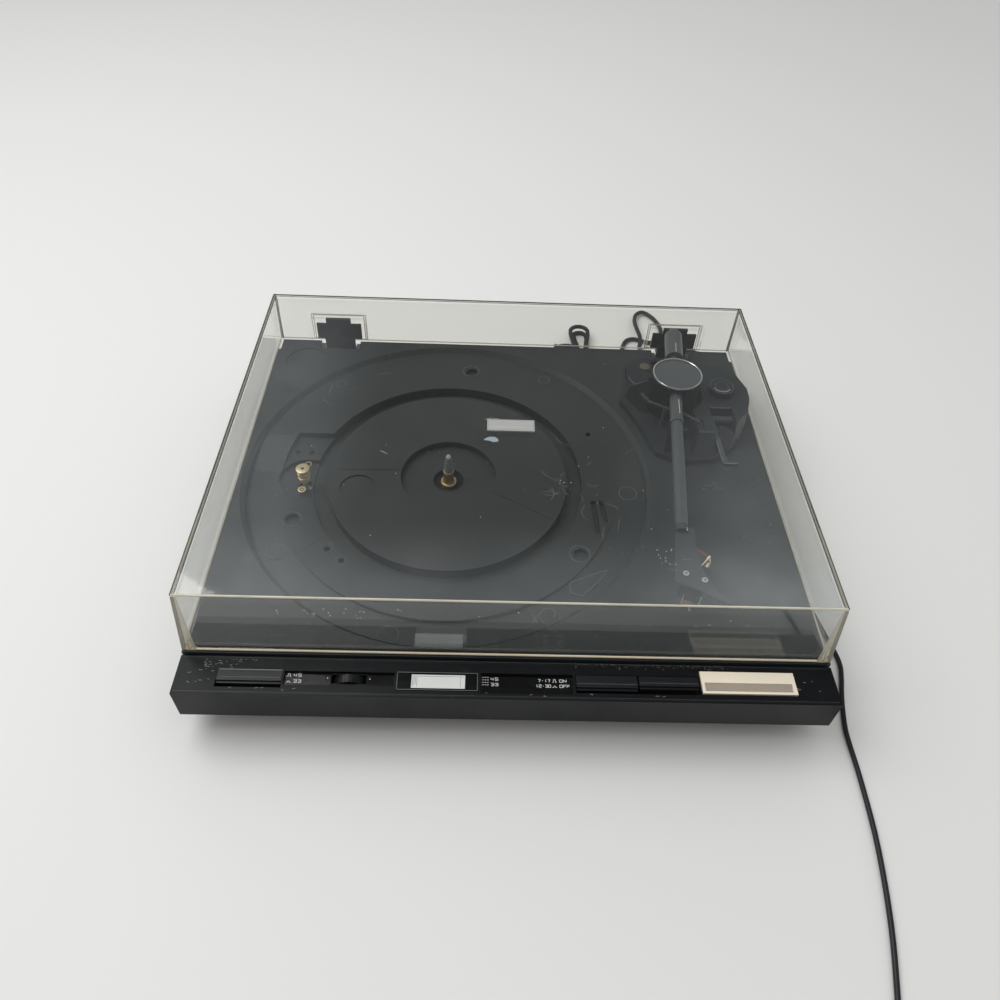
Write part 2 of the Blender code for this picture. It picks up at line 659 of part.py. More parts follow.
combine(side_step, tool("side_step_keep", block(
    -WELL_RADIUS, 0, -CUT_PAST, plateau_end + GAP, -GROOVE_DROP, 2 * CUT_PAST), well),
    "INTERSECT")
cut(plinth, side_step)
cut(plinth, tool("motor_bay", slab(
    scaled(MOTOR_BAY_SHARES, WELL_RADIUS), -MOTOR_BAY_DROP, CUT_PAST), well))
for number, (x, y) in enumerate(scaled(BOSS_HOLE_SHARES, WELL_RADIUS)):
    deep = CHANNEL_DROP + BOSS_DEEP if y < plateau_end else WELL_CHAMFER + BOSS_DEEP
    cut(plinth, tool(f"boss_hole_{number}", moved(rod(BOSS_RADIUS, -deep, CUT_PAST), x, y),
                     well))
for number, (x, y) in enumerate(scaled(SMALL_HOLE_SHARES, WELL_RADIUS)):
    cut(plinth, tool(f"small_hole_{number}", moved(
        rod(SMALL_HOLE_RADIUS, -CHANNEL_DROP - BOSS_DEEP, CUT_PAST), x, y), well))
for name, (start, end) in (("long_slot", LONG_SLOT_SHARES), ("short_slot", SHORT_SLOT_SHARES)):
    a, b = scaled((start, end), WELL_RADIUS)
    cut(plinth, tool(name, slab(capsule(a, b, SLOT_WIDTH), -CHANNEL_DROP - SLOT_DEEP, CUT_PAST),
                     well))
voltage_x, voltage_y = (WELL_RADIUS * share for share in VOLTAGE_SHARES)
cut(plinth, tool("voltage_dish", moved(
    rod(VOLTAGE_RADIUS, -WELL_CHAMFER - VOLTAGE_DEEP, CUT_PAST, ROUND_STEPS),
    voltage_x, voltage_y), well))
cut(plinth, tool("adaptor_dish", moved(
    rod(ADAPTOR_RADIUS, -ADAPTOR_DEEP, CUT_PAST, ROUND_STEPS),
    ADAPTOR_X_SHARE * CASE_WIDTH, -ADAPTOR_BACK)))
motor_x, motor_y = MOTOR_X_SHARE * WELL_RADIUS, MOTOR_Y_SHARE * WELL_RADIUS
cut(plinth, tool("motor_hole", moved(
    rod(PULLEY_RADIUS + PRISM_GAP, -UNDER, CUT_PAST), motor_x, motor_y), well))
for side in (-1, 1):
    outer, inner = side * (HALF + CUT_PAST), side * (INNER_HALF - GAP)
    cut(plinth, tool(f"ledge_relief_{side + 1}", block(
        inner, outer, -REAR_RELIEF_RUN, CUT_PAST, -REAR_RELIEF_DROP, CUT_PAST)))

# Bottom sheet and feet
bottom_cover = build("bottom_cover", block(
    -cavity_half + GAP, cavity_half - GAP, cavity_front + GAP, cavity_back - GAP, -UNDER,
    SHEET_TOP), (RUBBER, 0.7, 0.0))
foot_front = -(LID_DEPTH - FOOT_REAR_INSET)
for name, x, y in (("foot_rear_left", -1, -FOOT_REAR_INSET), ("foot_rear_right", 1, -FOOT_REAR_INSET),
                   ("foot_front_left", -1, foot_front), ("foot_front_right", 1, foot_front)):
    foot_top = -UNDER - GAP
    foot = build(name, turned([
        (0, -DECK_HEIGHT + FOOT_HEIGHT / 2), (FOOT_HOLE, -DECK_HEIGHT + FOOT_HEIGHT / 2),
        (FOOT_HOLE, -DECK_HEIGHT), (FOOT_RADIUS, -DECK_HEIGHT), (FOOT_TOP_RADIUS, foot_top),
        (0, foot_top)], 24), (RUBBER, 0.8, 0.0), at=(x * (HALF - FOOT_INSET), y, 0))


# Front bar
def bar_x(shares):
    return tuple(CASE_WIDTH * share for share in shares)


def bar_y(shares):
    return tuple(BAR_BACK - BAR_DEPTH * share for share in shares)


def bar_block(x_shares, y_shares, low, high, grow=0.0):
    x, y = bar_x(x_shares), bar_y(y_shares)
    return block(x[0] - grow, x[1] + grow, y[1] - grow, y[0] + grow, low, high)


bar_top, bar_foot = -BAR_DROP, -BAR_DROP - BAR_HEIGHT
bar_front = BAR_BACK - BAR_DEPTH
fascia = build("control_fascia", rings([[(x, y, z) for y, z in (
    (BAR_BACK, bar_foot), (BAR_BACK, -BAR_SEAM_DROP - BAR_DROP),
    (BAR_BACK - BAR_SEAM, -BAR_SEAM_DROP), (BAR_BACK - BAR_SEAM, bar_top),
    (bar_front, bar_top), (bar_front, bar_foot))] for x in (-HALF, HALF)]),
    (BAR_BLACK, 0.42, 0.0), bevel=0.0)
hollow_back, hollow_front = BAR_BACK - BAR_WALL, bar_front + BAR_WALL
cut(fascia, tool("bar_hollow", block(
    -HALF + BAR_WALL, HALF - BAR_WALL, hollow_front, hollow_back, bar_foot - CUT_PAST,
    bar_top - BAR_WALL)))
slot_row = (SPEED_Y_SHARES[0], SLOT_FRONT_SHARE)
above = bar_top + CUT_PAST
below = bar_top - BAR_WALL - CUT_PAST
cut(fascia, tool("speed_slot", bar_block(SPEED_X_SHARES, slot_row, below, above, KEY_GAP)))
cut(fascia, tool("disc_slot", bar_block(
    (DISC_X_SHARES[0], REPEAT_X_SHARES[1]), slot_row, below, above, KEY_GAP)))
cut(fascia, tool("start_slot", bar_block(START_X_SHARES, START_Y_SHARES, below, above,
                                         KEY_GAP)))
cut(fascia, tool("left_dish", bar_block(
    LEFT_DISH_X_SHARES, LEFT_DISH_Y_SHARES, bar_top - DISH, above)))
cut(fascia, tool("right_dish", bar_block(
    RIGHT_DISH_X_SHARES, RIGHT_DISH_Y_SHARES, bar_top - DISH, above)))
cut(fascia, tool("wheel_slot", bar_block(WHEEL_X_SHARES, WHEEL_Y_SHARES, below, above,
                                         KEY_GAP)))
cut(fascia, tool("strobe_seat", bar_block(
    STROBE_X_SHARES, STROBE_Y_SHARES, bar_top - STROBE_FRAME, above, GAP)))
cut(fascia, tool("strobe_light", bar_block(
    PANE_X_SHARES, PANE_Y_SHARES, below, above, -BAR_WALL / 3)))

key_foot = bar_top - KEY_DEEP
board_top = key_foot - PRESS - GAP
control_board = build("control_board", block(
    -HALF + BAR_WALL + GAP, HALF - BAR_WALL - GAP, hollow_front + GAP, hollow_back - GAP,
    board_top - BOARD_THICK, board_top), ((0.10, 0.20, 0.10), 0.6, 0.0))
for name, x_shares, y_shares, lift, look in (
        ("speed_button", SPEED_X_SHARES, SPEED_Y_SHARES, GAP, (BAR_BLACK, 0.4, 0.0)),
        ("disc_size_button", DISC_X_SHARES, DISC_Y_SHARES, GAP, (BAR_BLACK, 0.4, 0.0)),
        ("repeat_button", REPEAT_X_SHARES, REPEAT_Y_SHARES, GAP, (BAR_BLACK, 0.4, 0.0)),
        ("start_stop_button", START_X_SHARES, START_Y_SHARES, START_LIFT,
         (CHAMPAGNE, 0.35, 0.2))):
    build(name, bar_block(x_shares, y_shares, key_foot, bar_top + lift), look)

strobe_window = build("strobe_window", bar_block(
    STROBE_X_SHARES, STROBE_Y_SHARES, bar_top - STROBE_FRAME + GAP, bar_top + GAP),
    (RUBBER, 0.3, 0.0))
cut(strobe_window, tool("pane_hole", bar_block(
    PANE_X_SHARES, PANE_Y_SHARES, below, above, GAP)))
build("strobe_lens", bar_block(
    PANE_X_SHARES, PANE_Y_SHARES, bar_top - STROBE_FRAME + GAP, bar_top), (WHITE, 0.4, 0.0))
pane_x = sum(bar_x(PANE_X_SHARES)) / 2
pane_y = sum(bar_y(PANE_Y_SHARES)) / 2
build("strobe_lamp", turned([
    (0, board_top + GAP), (LAMP_RADIUS, board_top + GAP),
    (LAMP_RADIUS, board_top + LAMP_HEIGHT - LAMP_RADIUS / 2),
    (LAMP_RADIUS / 2, board_top + LAMP_HEIGHT), (0, board_top + LAMP_HEIGHT)], SMALL_STEPS),
    ((0.9, 0.45, 0.2), 0.3, 0.0), at=(pane_x, pane_y, 0))
prism_front = -(LID_DEPTH - LID_WALL - PRISM_GAP)
prism_x = bar_x(PRISM_X_SHARES)
build("strobe_prism", block(
    *prism_x, prism_front, prism_front + PRISM_DEPTH, GAP, PRISM_HEIGHT),
    (CLEAR, 0.1, 0.0, 0.5))

wheel_x, wheel_y = sum(bar_x(WHEEL_X_SHARES)) / 2, bar_y(WHEEL_Y_SHARES)
wheel_z = bar_top - WHEEL_RADIUS
wheel_half = (wheel_y[0] - wheel_y[1]) / 2
speed_wheel = build("speed_wheel", along(turned([
    (0, -wheel_half - WHEEL_SHAFT), (WHEEL_SHAFT, -wheel_half - WHEEL_SHAFT),
    (WHEEL_SHAFT, -wheel_half), (WHEEL_RADIUS, -wheel_half), (WHEEL_RADIUS, wheel_half),
    (WHEEL_SHAFT, wheel_half), (WHEEL_SHAFT, wheel_half + WHEEL_SHAFT),
    (0, wheel_half + WHEEL_SHAFT)], ROUND_STEPS), "Y"),
    (RUBBER, 0.5, 0.0), at=(wheel_x, sum(wheel_y) / 2, wheel_z))
cut(control_board, tool("wheel_clearance", bar_block(
    WHEEL_X_SHARES, WHEEL_Y_SHARES, board_top - WHEEL_RADIUS, board_top + CUT_PAST,
    KEY_GAP)))
pot_back = wheel_y[0] + WHEEL_SHAFT + GAP
join(control_board, tool("wheel_control", block(
    wheel_x - WHEEL_SHAFT * 2, wheel_x + WHEEL_SHAFT * 2, pot_back, hollow_back - 2 * GAP,
    board_top - BOARD_THICK / 2, wheel_z + WHEEL_SHAFT * 2)))

# Lid: outer walls that lean in, less an inner shape of the same lean
rim = -LEDGE_DROP + RIM_LIFT


def lid_ring(z, wall):
    share = max(z - rim, 0) / (LID_HEIGHT - rim)
    return [(x, y, z) for x, y in rectangle(
        -HALF + wall + LEAN_SIDE * share, HALF - wall - LEAN_SIDE * share,
        -LID_DEPTH + wall + LEAN_FRONT * share, -wall - LEAN_BACK * share)]


cover = build("dust_cover", rings([lid_ring(rim, 0), lid_ring(LID_HEIGHT, 0)]),
              (CLEAR, 0.12, 0.0, 0.3), bevel=LID_ROUND)
inside = tool("lid_inside", rings([
    [(x, y, rim - CUT_PAST) for x, y, z in lid_ring(rim, LID_WALL)],
    lid_ring(rim, LID_WALL), lid_ring(LID_HEIGHT - LID_WALL, LID_WALL)]))
cut(cover, inside)
plate_y = -LID_DEPTH / 2 - (LEAN_FRONT - LEAN_BACK) / 4
cut(cover, tool("plate_seat", block(
    -PLATE_WIDTH / 2 - GAP, PLATE_WIDTH / 2 + GAP, plate_y - PLATE_DEPTH / 2 - GAP,
    plate_y + PLATE_DEPTH / 2 + GAP, LID_HEIGHT - PLATE_SEAT, LID_HEIGHT + CUT_PAST)))
build("name_plate", block(
    -PLATE_WIDTH / 2, PLATE_WIDTH / 2, plate_y - PLATE_DEPTH / 2, plate_y + PLATE_DEPTH / 2,
    LID_HEIGHT - PLATE_SEAT + GAP, LID_HEIGHT - PLATE_SEAT + GAP + PLATE_THICK),
    ((0.70, 0.71, 0.72), 0.3, 0.8))

leaf_top = LEAF_BASE + LEAF_HEIGHT
leaf_front = -(LEAF_IN + LEAF_THICK)
barrel_back = -HINGE_IN + BARREL_RADIUS
for word, side in (("left", -1), ("right", 1)):
    middle = side * HINGE_SHARE * CASE_WIDTH
    half_pocket = POCKET_WIDTH / 2
    pocket = tool(f"pocket_{word}", rings([[(middle + x, y, z) for x, z in (
        (-half_pocket, POCKET_BASE), (-half_pocket, POCKET_TOP), (half_pocket, POCKET_TOP),
        (half_pocket, POCKET_BASE), (half_pocket - POCKET_RIB, POCKET_BASE),
        (half_pocket - POCKET_RIB, POCKET_TOP - POCKET_RIB),
        (-half_pocket + POCKET_RIB, POCKET_TOP - POCKET_RIB),
        (-half_pocket + POCKET_RIB, POCKET_BASE))] for y in (-POCKET_DEPTH, -LID_WALL / 2)]))
    join(cover, pocket)
    leaf = build(f"hinge_leaf_{word}", rings([[(middle + x, y, z) for x, z in (
        (-LEAF_WIDTH / 2, LEAF_BASE), (LEAF_WIDTH / 2, LEAF_BASE), (LEAF_WIDTH / 2, leaf_top),
        (TAB_WIDTH / 2, leaf_top), (TAB_WIDTH / 2, leaf_top + TAB_HEIGHT),
        (-TAB_WIDTH / 2, leaf_top + TAB_HEIGHT), (-TAB_WIDTH / 2, leaf_top),
        (-LEAF_WIDTH / 2, leaf_top))] for y in (leaf_front, -LEAF_IN)]), (RUBBER, 0.4, 0.0))
    stem = tool(f"stem_{word}", block(
        middle - STEM_WIDTH / 2, middle + STEM_WIDTH / 2, leaf_front - LEAF_THICK / 2,
        -LEAF_IN - LEAF_THICK / 4, -HINGE_DOWN, LEAF_BASE + LEAF_THICK))
    join(leaf, stem)
    barrel = tool(f"barrel_{word}", along(rod(
        BARREL_RADIUS, -STEM_WIDTH / 2 + GAP, STEM_WIDTH / 2 - GAP), "X"),
        at=(middle, -HINGE_IN, -HINGE_DOWN))
    join(leaf, barrel)
    cut(leaf, tool(f"pin_bore_{word}", along(rod(
        PIN_RADIUS + RUNNING, -STEM_WIDTH, STEM_WIDTH), "X"),
        at=(middle, -HINGE_IN, -HINGE_DOWN)))
    ear_out = STEM_WIDTH / 2 + 2 * GAP + EAR_THICK
    notch_half = ear_out + GAP
    cut(plinth, tool(f"hinge_notch_{word}", block(
        middle - notch_half, middle + notch_half, -HINGE_IN - EAR_HALF - GAP, CUT_PAST,
        -NOTCH_DROP, CUT_PAST)))
    ear_in = STEM_WIDTH / 2 + 2 * GAP
    ear_foot = -NOTCH_DROP + GAP
    ear_top = -HINGE_DOWN + EAR_HALF - GAP
    seat_top = -HINGE_DOWN - BARREL_RADIUS - 2 * GAP
    socket = build(f"hinge_socket_{word}", rings([[(middle + x, y, z) for x, z in (
        (-ear_out, ear_foot), (ear_out, ear_foot), (ear_out, ear_top), (ear_in, ear_top),
        (ear_in, seat_top), (-ear_in, seat_top), (-ear_in, ear_top),
        (-ear_out, ear_top))] for y in (-HINGE_IN - EAR_HALF, -HINGE_IN + EAR_HALF)]),
        (ZINC, 0.4, 0.7))
    pin = tool(f"hinge_pin_{word}", along(rod(PIN_RADIUS, -ear_out + GAP, ear_out - GAP), "X"),
               at=(middle, -HINGE_IN, -HINGE_DOWN))
    join(socket, pin)

# Spindle, its bearing and the main gears
housing_top = -(SEAT_FOOT + FLANGE_THICK + GAP)
housing_foot = -(WELL_UNDER + GAP + HOUSING_THICK)
build("bearing_housing", turned([
    (SHAFT_RADIUS + RUNNING, housing_foot), (HOUSING_FLANGE, housing_foot),
    (HOUSING_FLANGE, -WELL_UNDER - GAP), (HOUSING_RADIUS, -WELL_UNDER - GAP),
    (HOUSING_RADIUS, housing_top), (SHAFT_RADIUS + RUNNING, housing_top)], ROUND_STEPS,
    bored=True), (RUBBER, 0.35, 0.3), well)
build("spindle_shaft", turned([
    (0, -SHAFT_FOOT), (SHAFT_RADIUS, -SHAFT_FOOT), (SHAFT_RADIUS, SHAFT_TOP - SHAFT_TIP),
    (SHAFT_RADIUS * 0.62, SHAFT_TOP - SHAFT_TIP / 3), (SHAFT_RADIUS * 0.3, SHAFT_TOP),
    (0, SHAFT_TOP)], 32), (STEEL, 0.2, 1.0), well)
build("platter_seat", turned([
    (SHAFT_RADIUS + RUNNING, -SEAT_FOOT - FLANGE_THICK), (FLANGE_RADIUS, -SEAT_FOOT - FLANGE_THICK),
    (FLANGE_RADIUS, -SEAT_FOOT), (SEAT_RADIUS, -SEAT_FOOT), (SEAT_RADIUS, -SEAT_TOP),
    (SHAFT_RADIUS + RUNNING, -SEAT_TOP)], ROUND_STEPS, bored=True), (BRASS, 0.25, 1.0), well)
cup_foot = SHEET_TOP + GAP
build("thrust_cup", turned([
    (0, cup_foot), (CUP_RADIUS, cup_foot), (CUP_RADIUS, cup_foot + CUP_HEIGHT / 3),
    (CUP_RADIUS * 0.75, cup_foot + CUP_HEIGHT / 3), (CUP_RADIUS * 0.75, cup_foot + CUP_HEIGHT),
    (SHAFT_RADIUS + RUNNING, cup_foot + CUP_HEIGHT), (SHAFT_RADIUS + RUNNING, -SHAFT_FOOT - GAP),
    (0, -SHAFT_FOOT - GAP)], 32), (ZINC, 0.4, 0.8), well)


def gear(name, teeth, module, bore, top, first, look, at=(0, 0, 0)):
    """A spur gear about Z with plain flanks; `first` is the angle of one tooth's middle."""
    pitch = teeth * module / 2
    step = 2 * math.pi / teeth
    outline = []
    for i in range(teeth):
        for share, height in ((-0.33, -1.1), (-0.12, 0.8), (0.12, 0.8), (0.33, -1.1)):
            a = first + step * (i + share)
            radius = pitch + height * module
            outline.append((radius * math.cos(a), radius * math.sin(a)))
    made = build(name, slab(outline, top - GEAR_THICK, top), look, well, at=at)
    return cut(made, tool(name + "_bore", rod(bore, top - GEAR_THICK - CUT_PAST, top + CUT_PAST),
                          well, at=at))


cam_turn = math.radians(CAM_BEARING)
spacing = GEAR_MODULE * (PINION_TEETH + CAM_TEETH) / 2 + GEAR_SLACK
cam_x, cam_y = spacing * math.cos(cam_turn), spacing * math.sin(cam_turn)
gear_top = -GEAR_DROP
gear("drive_pinion", PINION_TEETH, GEAR_MODULE, SHAFT_RADIUS + RUNNING, gear_top,
     cam_turn + math.pi / PINION_TEETH, (BRASS, 0.3, 1.0))
gear("cam_gear", CAM_TEETH, GEAR_MODULE, AXLE_RADIUS + RUNNING, gear_top,
     cam_turn + math.pi, (WHITE, 0.5, 0.0), at=(cam_x, cam_y, 0))
shoulder = gear_top - GEAR_THICK - GAP
build("cam_axle", turned([
    (0, cup_foot), (AXLE_FOOT, cup_foot), (AXLE_FOOT, cup_foot + GEAR_THICK / 3),
    (AXLE_SHOULDER, cup_foot + GEAR_THICK / 3), (AXLE_SHOULDER, shoulder),
    (AXLE_RADIUS, shoulder), (AXLE_RADIUS, -WELL_UNDER - GAP), (0, -WELL_UNDER - GAP)], 32),
    (STEEL, 0.3, 1.0), well, at=(cam_x, cam_y, 0))

# Motor with its pulley, and the transformer
motor_top = -WELL_UNDER - GAP
shaft_foot = motor_top - MOTOR_RADIUS / 2
build("motor_can", turned([
    (0, cup_foot), (MOTOR_RADIUS, cup_foot), (MOTOR_RADIUS, motor_top),
    (MOTOR_SHAFT + RUNNING, motor_top), (MOTOR_SHAFT + RUNNING, shaft_foot - RUNNING),
    (0, shaft_foot - RUNNING)], ROUND_STEPS), (ZINC, 0.35, 0.8), well, at=(motor_x, motor_y, 0))
build("motor_pulley", turned([
    (0, shaft_foot), (MOTOR_SHAFT, shaft_foot), (MOTOR_SHAFT, -PULLEY_FOOT),
    (PULLEY_RADIUS, -PULLEY_FOOT), (PULLEY_RADIUS, PULLEY_TOP - 2 * MOTOR_SHAFT),
    (PULLEY_RADIUS - MOTOR_SHAFT, PULLEY_TOP - 1.5 * MOTOR_SHAFT),
    (PULLEY_RADIUS - MOTOR_SHAFT, PULLEY_TOP - MOTOR_SHAFT),
    (PULLEY_DISC, PULLEY_TOP - MOTOR_SHAFT), (PULLEY_DISC, PULLEY_TOP), (0, PULLEY_TOP)], 32),
    (BRASS, 0.25, 1.0), well, at=(motor_x, motor_y, 0))
box_left = -cavity_half + CASE_WALL
box_back = cavity_back - 2 * CASE_WALL
build("transformer", block(
    box_left, box_left + COIL_BOX_WIDTH, box_back - COIL_BOX_DEPTH, box_back, cup_foot,
    cup_foot + COIL_BOX_HEIGHT), (ZINC, 0.5, 0.6), bevel=COIL_BOX_HEIGHT / 10)

# Tonearm housing
low_outline = scaled(LOW_TIER_SHARES, POD_REACH)
base = build("tonearm_base", slab(low_outline, GAP, POD_STEP), (DECK_GREY, 0.5, 0.0), arm_base)
high = tool("high_tier", rings([
    [(x, y, POD_STEP - CUT_PAST / 2) for x, y in scaled(HIGH_FOOT_SHARES, POD_REACH)],
    [(x, y, POD_HEIGHT) for x, y in scaled(HIGH_TOP_SHARES, POD_REACH)]]), arm_base)
cut(high, tool("drum_room", rod(DRUM_CLEAR, POD_STEP, POD_HEIGHT + CUT_PAST, ROUND_STEPS),
               arm_base))
join(base, high)
cut(base, tool("weight_pit", slab(
    scaled(PIT_SHARES, POD_REACH), POD_STEP / 2, POD_STEP + CUT_PAST), arm_base))
for body in (base, plinth):
    part = "pod" if body is base else "deck"
    cut(body, tool(f"{part}_post_hole", rod(POST_RADIUS + GAP, -POD_HEIGHT / 2, POD_STEP + CUT_PAST,
                                            ROUND_STEPS), arm_base))
rail_points = scaled(RAIL_SHARES, POD_REACH)
plunger_x, plunger_y = rail_points[2]
for body in (base, plinth):
    part = "pod" if body is base else "deck"
    cut(body, tool(f"{part}_plunger_hole", moved(
        rod(PLUNGER_RADIUS + RUNNING, -POD_HEIGHT / 2, POD_STEP + CUT_PAST), plunger_x,
        plunger_y), arm_base))
end_x, end_y = rail_points[-1]
rail_top = ARM_HEIGHT - THICK_RADIUS - GAP
rail_low = rail_top - RAIL_THICK - RAIL_TRAVEL - 2 * GAP
cut(base, tool("rail_notch", block(
    end_x - 4 * RAIL_WIDTH, end_x + 2 * RAIL_WIDTH, end_y - RAIL_WIDTH, end_y + 3 * RAIL_WIDTH,
    rail_low, POD_HEIGHT + CUT_PAST), arm_base))

# Lever slot, its front channel and the pin's seats
slot_x = LEVER_X_SHARE * POD_REACH
cut(base, tool("lever_slot", block(
    slot_x, slot_x + LEVER_SLOT, -LEVER_BACK - LEVER_SLOT_LONG, -LEVER_BACK, LEVER_SLOT_FLOOR,
    POD_HEIGHT + CUT_PAST), arm_base))
cut(base, tool("lever_channel", block(
    slot_x, slot_x + LEVER_WIDTH + 4 * GAP, -POD_REACH - CUT_PAST, -LEVER_BACK - LEVER_SLOT_LONG / 3,
    LEVER_CHANNEL_FLOOR, POD_HEIGHT + CUT_PAST), arm_base))
pin_left = slot_x - LEVER_PIN_SEAT
pin_right = slot_x + LEVER_SLOT + LEVER_PIN_SEAT
cut(base, tool("lever_pin_hole", along(rod(
    LEVER_PIN + RUNNING, pin_left - GAP, pin_right + GAP), "X"), arm_base,
    at=(0, -LEVER_AXIS_Y, LEVER_AXIS_Z)))
knob_x, knob_y = KNOB_X_SHARE * POD_REACH, KNOB_Y_SHARE * POD_REACH
cut(base, tool("knob_hole", moved(rod(
    KNOB_STEM + RUNNING, POD_HEIGHT - KNOB_STEM_DEEP - GAP, POD_HEIGHT + CUT_PAST),
    knob_x, knob_y), arm_base))
build("antiskate_knob", turned([
    (0, POD_HEIGHT - KNOB_STEM_DEEP), (KNOB_STEM, POD_HEIGHT - KNOB_STEM_DEEP),
    (KNOB_STEM, POD_HEIGHT + GAP), (KNOB_RADIUS, POD_HEIGHT + GAP),
    (KNOB_RADIUS, POD_HEIGHT + KNOB_HEIGHT - KNOB_STEM / 4),
    (KNOB_RADIUS - KNOB_STEM / 4, POD_HEIGHT + KNOB_HEIGHT), (0, POD_HEIGHT + KNOB_HEIGHT)],
    ROUND_STEPS), (DECK_GREY, 0.45, 0.0), arm_base, at=(knob_x, knob_y, 0))

# Cue lever: hub and pin across the slot, stem and tab to the front
lever = build("cue_lever", along(rod(
    LEVER_PIN, pin_left + GAP, pin_right - GAP), "X"), (RUBBER, 0.4, 0.0), arm_base,
    at=(0, -LEVER_AXIS_Y, LEVER_AXIS_Z))
axis_at = (0, -LEVER_AXIS_Y, LEVER_AXIS_Z)
join(lever, tool("lever_hub", along(rod(
    LEVER_HUB, slot_x + GAP, slot_x + LEVER_SLOT - GAP), "X"), arm_base, at=axis_at))
stem_left = slot_x + 2 * GAP
join(lever, tool("lever_stem", rings([[(x, y, z) for y, z in (
    (0, -LEVER_THICK / 2), (0, LEVER_THICK / 2), (-LEVER_LONG, LEVER_RISE + LEVER_THICK / 2),
    (-LEVER_LONG, LEVER_RISE - LEVER_THICK / 2))] for x in (stem_left, stem_left + LEVER_WIDTH)]),
    arm_base, at=axis_at))
join(lever, tool("lever_tab", block(
    stem_left + LEVER_WIDTH / 2, stem_left + LEVER_TAB, -LEVER_LONG, -LEVER_LONG + LEVER_TAB_LONG,
    LEVER_RISE - LEVER_THICK / 2, LEVER_RISE + LEVER_THICK / 3), arm_base, at=axis_at))


def ribbon(points, width):
    """Outline of a strip of even width along the points."""
    left, right = [], []
    for i, (x, y) in enumerate(points):
        before = points[max(i - 1, 0)]
        after = points[min(i + 1, len(points) - 1)]
        heading = math.atan2(after[1] - before[1], after[0] - before[0])
        dx, dy = -math.sin(heading) * width / 2, math.cos(heading) * width / 2
        left.append((x + dx, y + dy))
        right.append((x - dx, y - dy))
    return left + right[::-1]


lifter = build("arm_lifter", slab(
    ribbon(rail_points, RAIL_WIDTH), rail_top - RAIL_THICK, rail_top), (DECK_GREY, 0.4, 0.2),
    arm_base)
join(lifter, tool("plunger", moved(rod(
    PLUNGER_RADIUS, -PLUNGER_FOOT, rail_top - RAIL_THICK / 2), plunger_x, plunger_y), arm_base))

# Arm rest: a post under the tube, with a stop on the far side
rest_floor = POD_STEP + GAP
rest_top = ARM_HEIGHT - TUBE_RADIUS - GAP
build("arm_rest", rings([[(x, y, z) for x, z in (
    (-REST_LEFT, rest_floor), (REST_RIGHT, rest_floor),
    (REST_RIGHT, rest_top + REST_STOP_HIGH), (REST_RIGHT - REST_STOP, rest_top + REST_STOP_HIGH),
    (REST_RIGHT - REST_STOP, rest_top), (-REST_LEFT, rest_top))]
    for y in (-REST_REACH - REST_DEPTH, -REST_REACH)]), (DECK_GREY, 0.4, 0.0), arm_base,
    turn=-REST_ANGLE)

# Arm pivot: fixed post, drum and cap
post_foot = -STUB_FOOT
build("arm_pivot_post", turned([
    (STUB_RADIUS + RUNNING, post_foot), (POST_FLANGE, post_foot),
    (POST_FLANGE, -CASE_WALL - GAP), (POST_RADIUS, -CASE_WALL - GAP), (POST_RADIUS, POD_STEP),
    (STUB_RADIUS + RUNNING, POD_STEP)], ROUND_STEPS, bored=True), (ZINC, 0.4, 0.8), arm_base)
drum_low = POD_STEP + GAP
drum_in = DRUM_RADIUS - DRUM_WALL
drum = build("arm_drum", turned([
    (0, post_foot), (STUB_RADIUS, post_foot), (STUB_RADIUS, drum_low), (DRUM_RADIUS, drum_low),
    (DRUM_RADIUS, DRUM_TOP), (drum_in, DRUM_TOP), (drum_in, DRUM_FLOOR), (0, DRUM_FLOOR)],
    ROUND_STEPS), (DECK_GREY, 0.4, 0.0), arm_swing)
slot_half = THICK_RADIUS + SLOT_SIDE
cut(drum, tool("tube_slot", block(
    -slot_half, slot_half, -DRUM_RADIUS - CUT_PAST, DRUM_RADIUS + CUT_PAST,
    ARM_HEIGHT - THICK_RADIUS - SLOT_UNDER, DRUM_TOP + CUT_PAST), arm_swing))
cut(drum, tool("gimbal_hole", along(rod(
    GIMBAL_RADIUS + RUNNING, -DRUM_RADIUS + DRUM_WALL / 4, DRUM_RADIUS - DRUM_WALL / 4), "X"),
    arm_tilt))
cap_low = DRUM_TOP + GAP
cap_top = cap_low + CAP_THICK
build("arm_cap", turned([
    (0, cap_low), (DRUM_RADIUS, cap_low), (DRUM_RADIUS, cap_top + CAP_RIM_HIGH),
    (DRUM_RADIUS - CAP_RIM, cap_top + CAP_RIM_HIGH), (DRUM_RADIUS - CAP_RIM, cap_top),
    (0, cap_top)], ROUND_STEPS), (DECK_GREY, 0.4, 0.0), arm_swing)

# The tube is turned along the arm, its front end toward -Y
tube = build("arm_tube", along(turned([
    (0, -WEIGHT_STUB), (STUB_RADIUS, -WEIGHT_STUB), (STUB_RADIUS, -DRUM_RADIUS - GAP),
    (THICK_RADIUS, -DRUM_RADIUS - GAP), (THICK_RADIUS, THICK_END), (COLLAR_RADIUS, THICK_END),
    (COLLAR_RADIUS, THICK_END + COLLAR_LENGTH), (TUBE_RADIUS, THICK_END + COLLAR_LENGTH),
    (TUBE_RADIUS, TUBE_END), (0, TUBE_END)], 32), "Y"), (ZINC, 0.3, 0.6), arm_tilt)
join(tube, tool("gimbal_pin", along(rod(
    GIMBAL_RADIUS, -DRUM_RADIUS + DRUM_WALL / 2, DRUM_RADIUS - DRUM_WALL / 2), "X"), arm_tilt))
weight_end = WEIGHT_FRONT + WEIGHT_LENGTH
